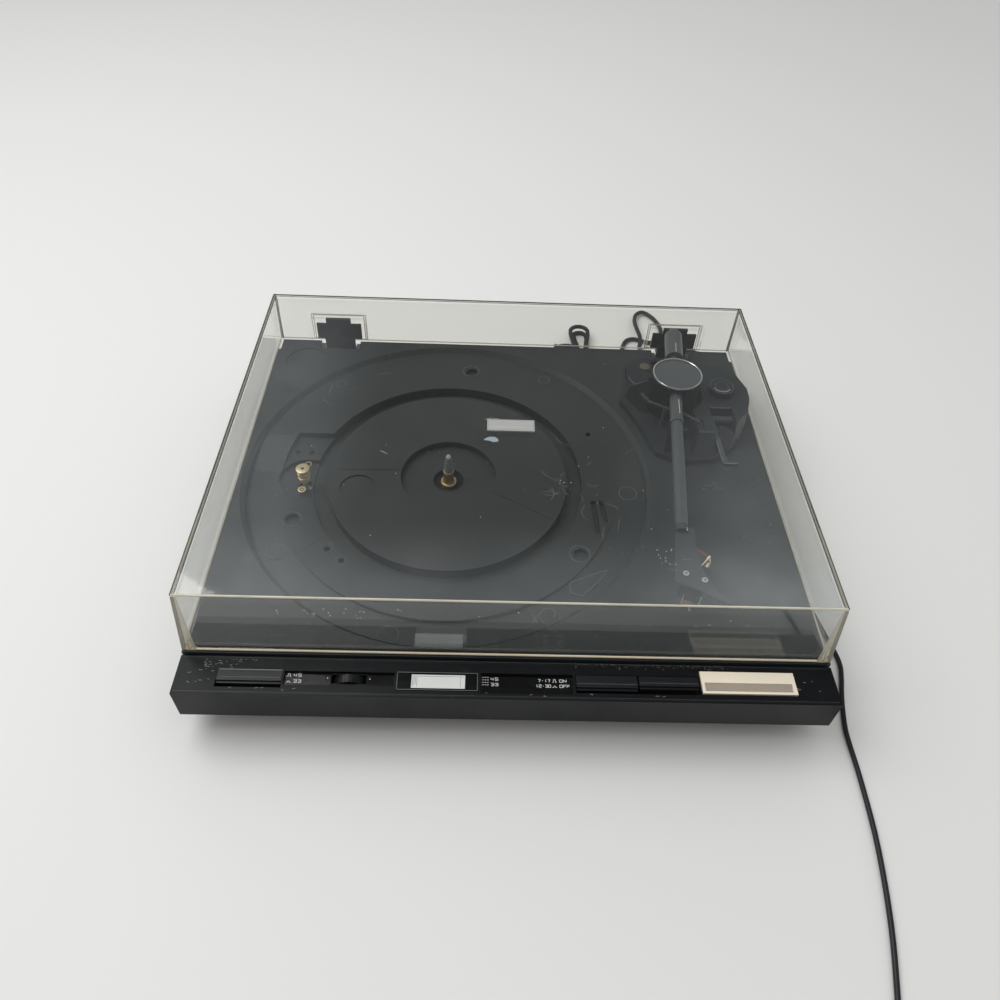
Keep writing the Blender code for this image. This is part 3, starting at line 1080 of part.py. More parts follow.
build("counterweight", along(turned([
    (0, -weight_end), (WEIGHT_RADIUS - WEIGHT_ROUND, -weight_end),
    (WEIGHT_RADIUS - WEIGHT_ROUND / 4, -weight_end + WEIGHT_ROUND / 2),
    (WEIGHT_RADIUS, -weight_end + WEIGHT_ROUND), (WEIGHT_RADIUS, -WEIGHT_FRONT),
    (STUB_RADIUS + RUNNING, -WEIGHT_FRONT),
    (STUB_RADIUS + RUNNING, -weight_end + WEIGHT_END_WALL),
    (0, -weight_end + WEIGHT_END_WALL)], 32), "Y"), (ZINC, 0.35, 0.5), arm_tilt)

shell = build("headshell", slab([
    (SHELL_LENGTH * side, -TUBE_END - SHELL_LENGTH * forward) for side, forward in SHELL_SHARES],
    SHELL_TOP - SHELL_THICK, SHELL_TOP), (DECK_GREY, 0.4, 0.2), arm_tilt)
plug_start = TUBE_END + GAP
join(shell, tool("shell_plug", along(moved(rod(
    TUBE_RADIUS, plug_start, plug_start + SHELL_PLUG)), "Y"), arm_tilt))
seat_at = Vector((
    CART_SIDE_SHARE * SHELL_LENGTH, -TUBE_END - CART_REACH_SHARE * SHELL_LENGTH,
    SHELL_TOP - SHELL_THICK))
cart = frame("cartridge_seat", seat_at, arm_tilt, -CART_ANGLE)
cart_low = -GAP - CART_HEIGHT
cart_back = CART_LENGTH - CART_FRONT
build("cartridge", block(
    -CART_WIDTH / 2, CART_WIDTH / 2, -CART_FRONT, cart_back, cart_low, -GAP),
    (BAR_BLACK, 0.3, 0.0), cart)
needle_top = cart_low - GAP
needle_low = needle_top - NEEDLE_HEIGHT
needle = build("stylus_unit", rings([[(x, y, z) for y, z in (
    (-CART_FRONT - NEEDLE_HEIGHT, needle_top - NEEDLE_HEIGHT / 3), (-CART_FRONT, needle_top),
    (NEEDLE_LENGTH - CART_FRONT, needle_top), (NEEDLE_LENGTH - CART_FRONT, needle_low),
    (-CART_FRONT - NEEDLE_HEIGHT / 2, needle_low))]
    for x in (-NEEDLE_WIDTH / 2, NEEDLE_WIDTH / 2)]), ((0.75, 0.35, 0.08), 0.35, 0.0), cart)
join(needle, tool("needle_tip", turned([
    (0, needle_low - NEEDLE_TIP), (NEEDLE_TIP / 4, needle_low - NEEDLE_TIP),
    (NEEDLE_TIP, needle_low + NEEDLE_TIP / 2), (0, needle_low + NEEDLE_TIP / 2)], 8), cart,
    at=(0, -CART_FRONT + NEEDLE_TIP, 0)))
for word, side in (("left", -1), ("right", 1)):
    x = side * SCREW_SPACING / 2
    cut(shell, tool(f"screw_hole_{word}", moved(rod(
        SCREW_RADIUS + SCREW_SLACK, -CUT_PAST, SHELL_THICK + CUT_PAST), x), cart))
    build(f"cartridge_screw_{word}", turned([
        (0, 0), (SCREW_RADIUS, 0), (SCREW_RADIUS, SHELL_THICK + GAP),
        (SCREW_HEAD, SHELL_THICK + GAP), (SCREW_HEAD, SHELL_THICK + SCREW_HEAD_HIGH),
        (0, SHELL_THICK + SCREW_HEAD_HIGH)], 16), (STEEL, 0.3, 1.0), cart, at=(x, 0, 0))

# Leads at the headshell
def smooth(points, step):
    """Points about `step` apart along a smooth curve through the given points.

    The first and last stretches stay straight."""
    points = [Vector(point) for point in points]
    dense = [points[1]]
    for p0, p1, p2, p3 in zip(points, points[1:], points[2:], points[3:]):
        for k in range(1, 17):
            t = k / 16
            dense.append((2 * p1 + (p2 - p0) * t + (2 * p0 - 5 * p1 + 4 * p2 - p3) * t ** 2
                          + (3 * p1 - p0 - 3 * p2 + p3) * t ** 3) / 2)
    reach = [0.0]
    for a, b in zip(dense, dense[1:]):
        reach.append(reach[-1] + (b - a).length)
    count = max(round(reach[-1] / step), 2)
    picked, k = [], 0
    for i in range(count + 1):
        want = reach[-1] * i / count
        while k < len(dense) - 2 and reach[k + 1] < want:
            k += 1
        share = (want - reach[k]) / (reach[k + 1] - reach[k])
        picked.append(dense[k].lerp(dense[k + 1], share))
    return [points[0], *picked, points[-1]]


def cord(name, points, diameter, level, look, parent=deck):
    curve = bpy.data.curves.new(name, "CURVE")
    curve.dimensions = "3D"
    curve.bevel_depth = diameter / 2
    curve.bevel_resolution = level
    curve.use_fill_caps = True
    spline = curve.splines.new("POLY")
    spline.points.add(len(points) - 1)
    for spot, point in zip(spline.points, points):
        spot.co = (*point, 1)
    made = bpy.data.objects.new(name, curve)
    made.parent = parent
    bpy.context.collection.objects.link(made)
    curve.materials.append(material(name, *look))
    return made


seat_turn = Matrix.Rotation(math.radians(-CART_ANGLE), 3, "Z")
lead_ends = [seat_at + seat_turn @ Vector((
    LEAD_END_SHARES[0] * CART_WIDTH, cart_back + away, -LEAD_END_SHARES[1] * CART_HEIGHT))
    for away in (GAP + 5 * LEAD_RADIUS, GAP + LEAD_RADIUS / 4)]
for word, offset, colour in (("red", 0.0, (0.6, 0.03, 0.03)), ("white", 1.0, WHITE)):
    shift = Vector((3 * LEAD_RADIUS, -LEAD_RADIUS, -3 * LEAD_RADIUS)) * offset
    lead_z = SHELL_TOP - SHELL_THICK - GAP - LEAD_RADIUS
    route = [
        Vector((LEAD_START_SHARE * TUBE_RADIUS, -(plug_start + SHELL_PLUG + GAP), lead_z)),
        Vector((LEAD_START_SHARE * TUBE_RADIUS,
                -(plug_start + SHELL_PLUG + GAP + 4 * LEAD_RADIUS), lead_z)),
        *(Vector((0, -TUBE_END, 0)) + SHELL_LENGTH * Vector((side, -forward, drop))
          for side, forward, drop in LEAD_SHARES),
        *lead_ends]
    route = [point + shift for point in route]
    cord(f"head_lead_{word}", smooth(route, 6 * LEAD_RADIUS), 2 * LEAD_RADIUS, 1,
         (colour, 0.5, 0.0), arm_tilt)

# Strain reliefs through the rear wall
relief_z = -RELIEF_DROP
for word, x in (("power", POWER_OUT), ("phono", PHONO_OUT)):
    collar_at = -REAR_INSET + GAP
    cut(plinth, tool(f"{word}_exit", along(rod(
        RELIEF_NECK + GAP, -CUT_PAST, 2 * CASE_WALL + CUT_PAST), "Y"),
        at=(x, 0, relief_z)))
    build(f"{word}_relief", along(turned([
        (0, RELIEF_END * -1), (RELIEF_TIP, RELIEF_END * -1),
        (RELIEF_NECK, -collar_at - RELIEF_COLLAR_THICK),
        (RELIEF_COLLAR, -collar_at - RELIEF_COLLAR_THICK), (RELIEF_COLLAR, -collar_at),
        (RELIEF_NECK, -collar_at), (RELIEF_NECK, -cavity_back + CASE_WALL),
        (0, -cavity_back + CASE_WALL)], SMALL_STEPS), "Y"), (RUBBER, 0.6, 0.0),
        at=(x, 0, relief_z))


def wound(shape, turns, pitch, per_turn, extra):
    """One tube in two layers: in along the lower, a climb, and out along the upper.

    `shape` gives a point for a turn count and how far in the turn lies."""
    inmost = turns - 0.25
    points = []
    count = round((2 * turns + extra) * per_turn)
    for i in range(count + 1):
        t = i * (2 * turns + extra) / count
        if t <= inmost:
            inward, up = t, 0.0
        elif t < inmost + 0.5:
            inward, up = inmost, (t - inmost) / 0.5
        else:
            inward, up = 2 * turns - t, 1.0
        x, y = shape(t, pitch * inward)
        rise = up * up * (3 - 2 * up)
        points.append(Vector((x, y, pitch * rise)))
    return points


def least_gap(points, diameter):
    """Least distance between parts of the tube that aren't next to each other."""
    least = None
    near = 2.5 * diameter
    reach = [0.0]
    for a, b in zip(points, points[1:]):
        reach.append(reach[-1] + (b - a).length)
    for i, a in enumerate(points):
        for j in range(i + 1, len(points) - 1):
            if reach[j] - reach[i] < near:
                continue
            line = points[j + 1] - points[j]
            share = min(max((a - points[j]).dot(line) / line.length_squared, 0), 1)
            gap = (a - points[j] - line * share).length - diameter
            least = gap if least is None else min(least, gap)
    return least


def rest_height(diameter):
    return -DECK_HEIGHT + diameter / 2 + TABLE_GAP


def lifted(route, diameter):
    return [Vector((x, y, z + rest_height(diameter))) for x, y, z in route]


def coil_shape(t, inward):
    turn = math.pi / 2 - 2 * math.pi * t
    radius = COIL_RADIUS - inward
    return COIL_X + radius * math.cos(turn), COIL_Y + radius * math.sin(turn)


def hank_shape(t, inward):
    """Down the left run, round the near fold, up the right run and round the far fold."""
    radius = HANK_RADIUS - inward
    lap = t % 1
    fold_end = RUN_SHARE / 2 + FOLD_SHARE
    if lap < RUN_SHARE / 2 or lap >= 1 - RUN_SHARE / 2:
        share = lap if lap < RUN_SHARE / 2 else lap - 1
        x, y = -radius, -share * 2 * HANK_STRAIGHT / RUN_SHARE
    elif lap < fold_end:
        turn = math.pi * (1 + (lap - RUN_SHARE / 2) / FOLD_SHARE)
        x, y = radius * math.cos(turn), -HANK_STRAIGHT + radius * math.sin(turn)
    elif lap < fold_end + RUN_SHARE:
        share = (lap - fold_end) / RUN_SHARE - 0.5
        x, y = radius, share * 2 * HANK_STRAIGHT
    else:
        turn = math.pi * (lap - fold_end - RUN_SHARE) / FOLD_SHARE
        x, y = radius * math.cos(turn), HANK_STRAIGHT + radius * math.sin(turn)
    drawn = max(1 - (y / HANK_STRAIGHT) ** 2, 0) ** 2 * HANK_WAIST
    x -= math.copysign(drawn, x)
    return HANK_X + x, HANK_Y + y


def straight_end(points, diameter, heading):
    """A point one diameter past the last, square to what the tube meets."""
    return points + [points[-1] + Vector(heading) * diameter]


grey = ((0.05, 0.05, 0.055), 0.45, 0.0)
tip = RELIEF_END + GAP
# Mains lead: from its relief to the coil, the coil, and on to the plug
coil = wound(coil_shape, COIL_TURNS, POWER_DIAMETER + COIL_GAP, WOUND_STEPS, 0)
base_z = Vector((0, 0, rest_height(POWER_DIAMETER)))
coil = [point + base_z for point in coil]
coil = [coil[0] - Vector((POWER_DIAMETER, 0, 0))] + straight_end(coil, POWER_DIAMETER, (1, 0, 0))
cord("power_cord_coil", coil, POWER_DIAMETER, 1, grey)
start = [Vector((POWER_OUT, tip, relief_z)),
         Vector((POWER_OUT, tip + POWER_DIAMETER, relief_z)),
         *lifted(POWER_START_ROUTE, POWER_DIAMETER),
         coil[0] - Vector((GAP + 2 * POWER_DIAMETER, 0, 0)), coil[0] - Vector((GAP, 0, 0))]
cord("power_cord_start", smooth(start, 2.2 * POWER_DIAMETER), POWER_DIAMETER, 2, grey)
plug_at = lifted([POWER_PLUG_AT], POWER_DIAMETER)[0]
last = lifted(POWER_RUN_ROUTE, POWER_DIAMETER)[-1]
heading = (plug_at - last).normalized()
run = [coil[-1] + Vector((GAP, 0, 0)), coil[-1] + Vector((GAP + POWER_DIAMETER, 0, 0)),
       *lifted(POWER_RUN_ROUTE, POWER_DIAMETER), plug_at - heading * POWER_DIAMETER, plug_at]
cord("power_cord_run", smooth(run, 3 * POWER_DIAMETER), POWER_DIAMETER, 2, grey)
plug_turn = math.degrees(math.atan2(heading.y, heading.x))
plug_frame = frame("plug_seat", (plug_at.x, plug_at.y, -DECK_HEIGHT), deck, plug_turn)
plug_mid = PLUG_THICK / 2 + TABLE_GAP
neck = POWER_DIAMETER / 2 + TABLE_GAP
plug = build("power_plug", rings([
    [(x, y * wide, mid + z * high) for y, z in ((-0.5, -0.3), (-0.3, -0.5), (0.3, -0.5), (0.5, -0.3),
                                                (0.5, 0.3), (0.3, 0.5), (-0.3, 0.5), (-0.5, 0.3))]
    for x, wide, high, mid in (
        (GAP, 1.6 * POWER_DIAMETER, POWER_DIAMETER, neck),
        (PLUG_LENGTH * 0.3, PLUG_WIDTH * 0.55, PLUG_THICK * 0.8, PLUG_THICK * 0.4 + TABLE_GAP),
        (PLUG_LENGTH * 0.7, PLUG_WIDTH, PLUG_THICK, plug_mid),
        (PLUG_LENGTH, PLUG_WIDTH, PLUG_THICK, plug_mid))]), (RUBBER, 0.5, 0.0), plug_frame)
for number, side in enumerate((-1, 1)):
    join(plug, tool(f"plug_pin_{number}", moved(along(rod(
        PLUG_PIN_RADIUS, PLUG_LENGTH * 0.9, PLUG_LENGTH + PLUG_PIN_LENGTH, 12), "X"),
        y=side * PLUG_PIN_SPACING / 2, z=plug_mid), plug_frame))

# Signal lead: from its relief to the hank, the hank, and the loop that shows behind the case
hank = wound(hank_shape, HANK_TURNS, PHONO_DIAMETER + HANK_GAP, WOUND_STEPS,
             HANK_EXTRA_TURNS)
base_z = Vector((0, 0, rest_height(PHONO_DIAMETER)))
hank = [point + base_z for point in hank]
hank = [hank[0] + Vector((0, PHONO_DIAMETER, 0))] + straight_end(hank, PHONO_DIAMETER, (1, 0, 0))
cord("phono_hank", hank, PHONO_DIAMETER, 1, grey)
start = [Vector((PHONO_OUT, tip, relief_z)),
         Vector((PHONO_OUT, tip + PHONO_DIAMETER, relief_z)),
         *lifted(PHONO_START_ROUTE, PHONO_DIAMETER),
         hank[0] + Vector((0, GAP + PHONO_DIAMETER, 0)), hank[0] + Vector((0, GAP, 0))]
cord("phono_cord_start", smooth(start, 2.2 * PHONO_DIAMETER), PHONO_DIAMETER, 2, grey)
din_at = lifted([DIN_PLUG_AT], PHONO_DIAMETER)[0]
run = [hank[-1] + Vector((GAP, 0, 0)), hank[-1] + Vector((GAP + PHONO_DIAMETER, 0, 0)),
       *lifted(PHONO_RUN_ROUTE, PHONO_DIAMETER),
       din_at + Vector((0, PHONO_DIAMETER, 0)), din_at]
run = smooth(run, 2.4 * PHONO_DIAMETER)
cord("phono_cord_run", run, PHONO_DIAMETER, 2, grey)
build("phono_plug", along(turned([
    (0, GAP), (PHONO_DIAMETER / 2 + GAP, GAP), (DIN_RADIUS * 0.75, DIN_BOOT), (DIN_RADIUS, DIN_BOOT),
    (DIN_RADIUS, DIN_BOOT + DIN_LENGTH), (DIN_NOSE, DIN_BOOT + DIN_LENGTH),
    (DIN_NOSE, DIN_BOOT + DIN_LENGTH + DIN_NOSE_LENGTH),
    (0, DIN_BOOT + DIN_LENGTH + DIN_NOSE_LENGTH)], 24), "Y"), (ZINC, 0.35, 0.6),
    at=(din_at.x, din_at.y, din_at.z))
for name, points, diameter in (("coil", coil, POWER_DIAMETER), ("hank", hank, PHONO_DIAMETER),
                               ("loop", run, PHONO_DIAMETER)):
    print(f"least gap in the {name}: {least_gap(points, diameter) * 1000:.2f} mm")
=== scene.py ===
"""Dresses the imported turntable: finishes, small trim and marks, cords, lights and camera."""
import math
import random

import bmesh
import bpy
from mathutils import Matrix, Vector


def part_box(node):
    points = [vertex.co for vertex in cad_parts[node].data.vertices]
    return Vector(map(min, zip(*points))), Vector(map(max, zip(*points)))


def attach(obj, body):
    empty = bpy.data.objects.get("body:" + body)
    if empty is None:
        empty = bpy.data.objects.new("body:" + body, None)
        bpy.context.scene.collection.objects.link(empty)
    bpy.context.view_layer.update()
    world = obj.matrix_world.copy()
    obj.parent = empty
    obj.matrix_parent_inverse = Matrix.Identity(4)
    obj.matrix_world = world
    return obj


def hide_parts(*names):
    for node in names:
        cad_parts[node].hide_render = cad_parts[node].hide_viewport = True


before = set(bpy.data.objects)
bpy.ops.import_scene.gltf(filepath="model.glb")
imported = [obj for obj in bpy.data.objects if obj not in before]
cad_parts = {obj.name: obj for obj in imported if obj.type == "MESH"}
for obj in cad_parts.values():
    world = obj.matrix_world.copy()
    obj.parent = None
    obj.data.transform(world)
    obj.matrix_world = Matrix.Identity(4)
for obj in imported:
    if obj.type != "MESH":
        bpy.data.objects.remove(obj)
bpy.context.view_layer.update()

# Places that come from the frame, in metres
LID_LOW, LID_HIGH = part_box("dust_cover")
PLINTH_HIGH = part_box("plinth")[1]
BAR_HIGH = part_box("control_fascia")[1]
DECK = Vector((0, LID_HIGH[1], PLINTH_HIGH[2]))  # the middle of the deck's rear edge


def middle(node):
    low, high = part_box(node)
    return Vector([(a + b) / 2 for a, b in zip(low, high)])


WELL = Vector((*middle("spindle_shaft")[:2], DECK.z))

# Camera, as solved from the photograph
CAMERA_AT = Vector((-0.02357, -0.60456, 0.45536))  # from the deck's rear edge
CAMERA_DOWN = 0.798
CAMERA_YAW = 0.039
CAMERA_ROLL = 0.054
FOCAL_SHARE = 0.800411  # focal length in frame widths
SHIFT_SHARE = -0.033923  # of the frame's width
SENSOR = 36.0


def add_camera():
    data = bpy.data.cameras.new("camera")
    data.sensor_width = SENSOR
    data.lens = FOCAL_SHARE * SENSOR
    data.shift_y = SHIFT_SHARE
    data.clip_start = 0.01
    forward = Vector((math.sin(CAMERA_YAW) * math.cos(CAMERA_DOWN),
                      math.cos(CAMERA_YAW) * math.cos(CAMERA_DOWN), -math.sin(CAMERA_DOWN)))
    right = Vector((math.cos(CAMERA_YAW), -math.sin(CAMERA_YAW), 0))
    up = right.cross(forward)
    turn = Matrix.Rotation(CAMERA_ROLL, 3, -forward)
    basis = Matrix((turn @ right, turn @ up, -forward)).transposed().to_4x4()
    camera = bpy.data.objects.new("camera", data)
    camera.matrix_world = Matrix.Translation(DECK + CAMERA_AT) @ basis
    bpy.context.collection.objects.link(camera)
    bpy.context.scene.camera = camera


add_camera()


# Materials
def linear(value):
    value /= 255
    return value / 12.92 if value <= 0.04045 else ((value + 0.055) / 1.055) ** 2.4


def shade(red, green, blue):
    """A colour from its 8-bit display values."""
    return (linear(red), linear(green), linear(blue), 1)


def plain(name, colour, rough, metal=0.0, specular=0.5):
    """A new material, its tree and its shader."""
    material = bpy.data.materials.new(name)
    material.use_nodes = True
    shader = material.node_tree.nodes["Principled BSDF"]
    for socket, value in (("Base Color", colour), ("Roughness", rough), ("Metallic", metal),
                          ("Specular IOR Level", specular)):
        shader.inputs[socket].default_value = value
    return material, material.node_tree, shader


def link(source, output, target, socket):
    source.id_data.links.new(source.outputs[output], target.inputs[socket])


def noise(tree, scale, detail=2.0, stretch=(1, 1, 1), rough=0.5):
    """A noise texture on the piece's own coordinates."""
    place = tree.nodes.new("ShaderNodeTexCoord")
    mapping = tree.nodes.new("ShaderNodeMapping")
    mapping.inputs["Scale"].default_value = stretch
    texture = tree.nodes.new("ShaderNodeTexNoise")
    texture.inputs["Scale"].default_value = scale
    texture.inputs["Detail"].default_value = detail
    texture.inputs["Roughness"].default_value = rough
    link(place, "Object", mapping, "Vector")
    link(mapping, "Vector", texture, "Vector")
    return texture


def ramp(texture, low, low_colour, high, high_colour):
    """A texture's values as colours: one up to the low stop, another from the high stop."""
    node = texture.id_data.nodes.new("ShaderNodeValToRGB")
    for element, place, colour in zip(node.color_ramp.elements, (low, high), (low_colour, high_colour)):
        element.position = place
        element.color = colour
    link(texture, "Fac", node, "Fac")
    return node


def grey(value):
    return (value, value, value, 1)


def levels(texture, low, high):
    return ramp(texture, 0.3, grey(low), 0.7, grey(high))


def tones(texture, colour, darker, lighter):
    """Goes between a darker and a lighter tone of one colour."""
    return ramp(texture, 0.3, (*(c * darker for c in colour[:3]), 1),
                0.7, (*(min(c * lighter, 1) for c in colour[:3]), 1))


def covered(under, output, cover, colour):
    """One colour laid over another where the cover is bright."""
    node = under.id_data.nodes.new("ShaderNodeMix")
    node.data_type = "RGBA"
    link(cover, "Color", node, 0)
    link(under, output, node, 6)
    node.inputs[7].default_value = colour
    return node


def add_bump(shader, texture, strength, distance):
    bump = shader.id_data.nodes.new("ShaderNodeBump")
    bump.inputs["Strength"].default_value = strength
    bump.inputs["Distance"].default_value = distance
    link(texture, "Fac", bump, "Height")
    link(bump, "Normal", shader, "Normal")


def moulded(name, display, rough, dust=0.0, dust_colour=(0.13, 0.11, 0.09, 1), grain=1400.0,
            bump=0.05, spread=0.06, specular=0.4):
    """Moulded plastic: fine grain, uneven gloss, and dust that settles in patches."""
    colour = shade(*display)
    material, tree, shader = plain(name, colour, rough, specular=specular)
    tint = tones(noise(tree, 9.0, 5.0, rough=0.62), colour, 0.90, 1.10)
    link(tint, "Color", shader, "Base Color")
    if dust:
        patches = ramp(noise(tree, 23.0, 6.0, rough=0.7), 0.52, grey(0), 0.80, grey(dust))
        dusty = covered(tint, "Color", patches, dust_colour)
        specks = ramp(noise(tree, 420.0, 1.0), 0.735, grey(0), 0.775, grey(min(1, dust * 2.2)))
        dusty = covered(dusty, 2, specks, (0.32, 0.31, 0.28, 1))
        link(dusty, 2, shader, "Base Color")
    gloss = levels(noise(tree, 31.0, 4.0), max(rough - spread, 0.05), min(rough + spread, 1.0))
    link(gloss, "Color", shader, "Roughness")
    add_bump(shader, noise(tree, grain, 2.0), bump, 0.0002)
    return material


def brushed(name, display, rough, along=(1, 60, 1), scale=120.0, metal=1.0):
    """Metal with fine lines one way."""
    colour = shade(*display)
    material, tree, shader = plain(name, colour, rough, metal)
    grooves = noise(tree, scale, 3.0, stretch=along)
    link(levels(grooves, max(rough - 0.04, 0.04), rough + 0.05), "Color", shader, "Roughness")
    link(tones(grooves, colour, 0.93, 1.05), "Color", shader, "Base Color")
    add_bump(shader, grooves, 0.02, 0.0001)
    return material


def satin(name, display, rough, bump=0.1):
    """Close-grained paint or plastic, without dust."""
    return moulded(name, display, rough, grain=1500.0, bump=bump)


DECK_PLASTIC = moulded("deck_plastic", (47, 51, 52), 0.4, dust=0.1, bump=0.015)
POD_PLASTIC = moulded("pod_plastic", (38, 42, 44), 0.34, dust=0.06, bump=0.01)
# Painted shade: near-black for the pod's pit and the arm's drum, where shade falls
PIT_SHADE = moulded("pit_shade", (13, 15, 16), 0.55, bump=0.01)
RAIL_PLASTIC = moulded("rail_plastic", (62, 66, 68), 0.34, bump=0.01)
CAP_PLASTIC = moulded("cap_plastic", (80, 84, 87), 0.3, dust=0.06, bump=0.01)
BAR_PLASTIC = moulded("bar_plastic", (17, 19, 22), 0.36, dust=0.02, bump=0.1, specular=0.2)
BLACK = moulded("black_plastic", (18, 19, 21), 0.34)
WINDOW_BLACK = moulded("window_black", (9, 9, 10), 0.12, bump=0.01, spread=0.03)
KEY_BLACK = moulded("key_black", (22, 24, 28), 0.36)
ARM_GREY = brushed("arm_grey", (88, 92, 94), 0.36, along=(60, 1, 60), metal=0.35)
SHELL_GREY = moulded("shell_grey", (60, 63, 67), 0.4)
SILVER = brushed("silver", (214, 214, 210), 0.34, along=(1, 14, 1), scale=40.0, metal=0.55)
STEEL = brushed("steel", (196, 196, 194), 0.24, along=(60, 60, 1), metal=0.75)
CHROME = brushed("chrome", (232, 232, 230), 0.16, along=(1, 30, 1), metal=0.8)
BRASS = brushed("brass", (186, 162, 108), 0.3, along=(40, 40, 4), metal=0.8)
BRASS_BRIGHT = brushed("brass_bright", (210, 194, 154), 0.34, along=(40, 40, 4), metal=0.6)
ZINC = brushed("zinc", (150, 152, 154), 0.42)
CREAM = satin("cream", (233, 222, 202), 0.42)
TAUPE = satin("taupe", (158, 146, 130), 0.5)
PANE = moulded("pane", (214, 216, 212), 0.35, dust=0.1, dust_colour=(0.42, 0.42, 0.4, 1))
RUBBER = moulded("rubber", (26, 26, 27), 0.72, dust=0.08)
CORD_BLACK = moulded("cord_black", (34, 35, 38), 0.42, grain=700.0)
CORD_GREY = moulded("cord_grey", (36, 38, 41), 0.5, grain=700.0)
NYLON = moulded("nylon", (216, 212, 196), 0.48)
BOARD = moulded("board", (120, 90, 48), 0.6)
LAMP = moulded("lamp", (236, 150, 92), 0.2)
HARDBOARD = moulded("hardboard", (70, 62, 52), 0.75, grain=300.0)
NEEDLE = moulded("needle_plastic", (112, 82, 52), 0.35)
LEAD_RED = moulded("lead_red", (150, 74, 60), 0.5)
LEAD_WHITE = moulded("lead_white", (220, 206, 166), 0.5)
TAN = moulded("tan_pad", (88, 78, 70), 0.8)
WHITE_INK = moulded("white_ink", (206, 208, 206), 0.6)
# Grey for print, outlines and scuffs; also a painted highlight on the speed key's rear edge
INK_AND_HIGHLIGHT_GREY = satin("ink_and_highlight_grey", (150, 152, 152), 0.6)
# Painted shade for the inside of grooves, slots, gaps and a bore
GROOVE_SHADE = satin("groove_shade", (13, 14, 15), 0.5)
# Painted highlight: a lighter grey on low raised rings, rims and lips of the same plastic
RAISED_HIGHLIGHT = satin("raised_highlight", (72, 77, 79), 0.42)
# Painted highlights along edges and ridges
PALE_HIGHLIGHT = satin("pale_highlight", (112, 117, 119), 0.4)
GREY_HIGHLIGHT = satin("grey_highlight", (70, 73, 76), 0.4)
CHIP_GREY = satin("chip_grey", (142, 153, 158), 0.6)
CHIP_WHITE = satin("chip_white", (226, 228, 226), 0.6)
# Cream for the lead clips; also the painted highlight on the lid's front foot, its corner glints and a
# screw's rim
CREAM_AND_HIGHLIGHT = satin("cream_and_highlight", (240, 226, 198), 0.3, bump=0.05)


def sheer(name, display, alpha, rough=0.25, spread=0.12):
    """A cloudy, part see-through material: painted highlights, sheen and shade on the lid's edges, and
    scratches and dust.
    """
    material, tree, shader = plain(name, shade(*display), rough)
    cover = levels(noise(tree, 60.0, 4.0), alpha - spread, min(alpha + spread, 1))
    link(cover, "Color", shader, "Alpha")
    return material


# Painted light for the lid's clear edges: an ivory highlight, an olive sheen and a dark shade
EDGE_HIGHLIGHT_IVORY = sheer("edge_highlight_ivory", (226, 220, 200), 0.72)
EDGE_SHEEN_OLIVE = sheer("edge_sheen_olive", (160, 155, 134), 0.8)
EDGE_SHADE_DARK = sheer("edge_shade_dark", (78, 80, 76), 0.8)
SCRATCH = sheer("scratch", (196, 196, 190), 0.45, 0.5)
DUST_BROWN = sheer("dust_brown", (104, 92, 74), 0.5, 0.9, 0.35)


def maths(operation, first, second):
    """One arithmetic step on a (node, output) pair and a second pair or a number."""
    node = first[0].id_data.nodes.new("ShaderNodeMath")
    node.operation = operation
    link(*first, node, 0)
    if isinstance(second, tuple):
        link(*second, node, 1)
    else:
        node.inputs[1].default_value = second
    return (node, "Value")


def times(first, second):
    return maths("MULTIPLY", first, second)


def plus(first, second):
    return maths("ADD", first, second)


def span(source, low, high):
    """Rises smoothly from 0 to 1 as a value goes from low to high."""
    node = source[0].id_data.nodes.new("ShaderNodeMapRange")
    node.interpolation_type = "SMOOTHSTEP"
    link(*source, node, "Value")
    flip = low > high
    node.inputs["From Min"].default_value = min(low, high)
    node.inputs["From Max"].default_value = max(low, high)
    node.inputs["To Min"].default_value = 1.0 if flip else 0.0
    node.inputs["To Max"].default_value = 0.0 if flip else 1.0
    return (node, "Result")


def split_place(tree, kind):
    """The place that is shaded, split into X, Y and Z."""
    place = tree.nodes.new("ShaderNodeTexCoord")
    split = tree.nodes.new("ShaderNodeSeparateXYZ")
    link(place, kind, split, "Vector")
    return split


def lobe(tree, kind, colour, **values):
    """A simple shader of one colour, as a (node, output) pair."""
    node = tree.nodes.new(kind)
    node.inputs["Color"].default_value = colour
    for name, value in values.items():
        node.inputs[name].default_value = value
    return (node, 0)


def blend(factor, first, second):
    """Mixes two shaders: all three are (node, output) pairs."""
    node = factor[0].id_data.nodes.new("ShaderNodeMixShader")
    for socket, source in enumerate((factor, first, second)):
        link(*source, node, socket)
    return (node, 0)


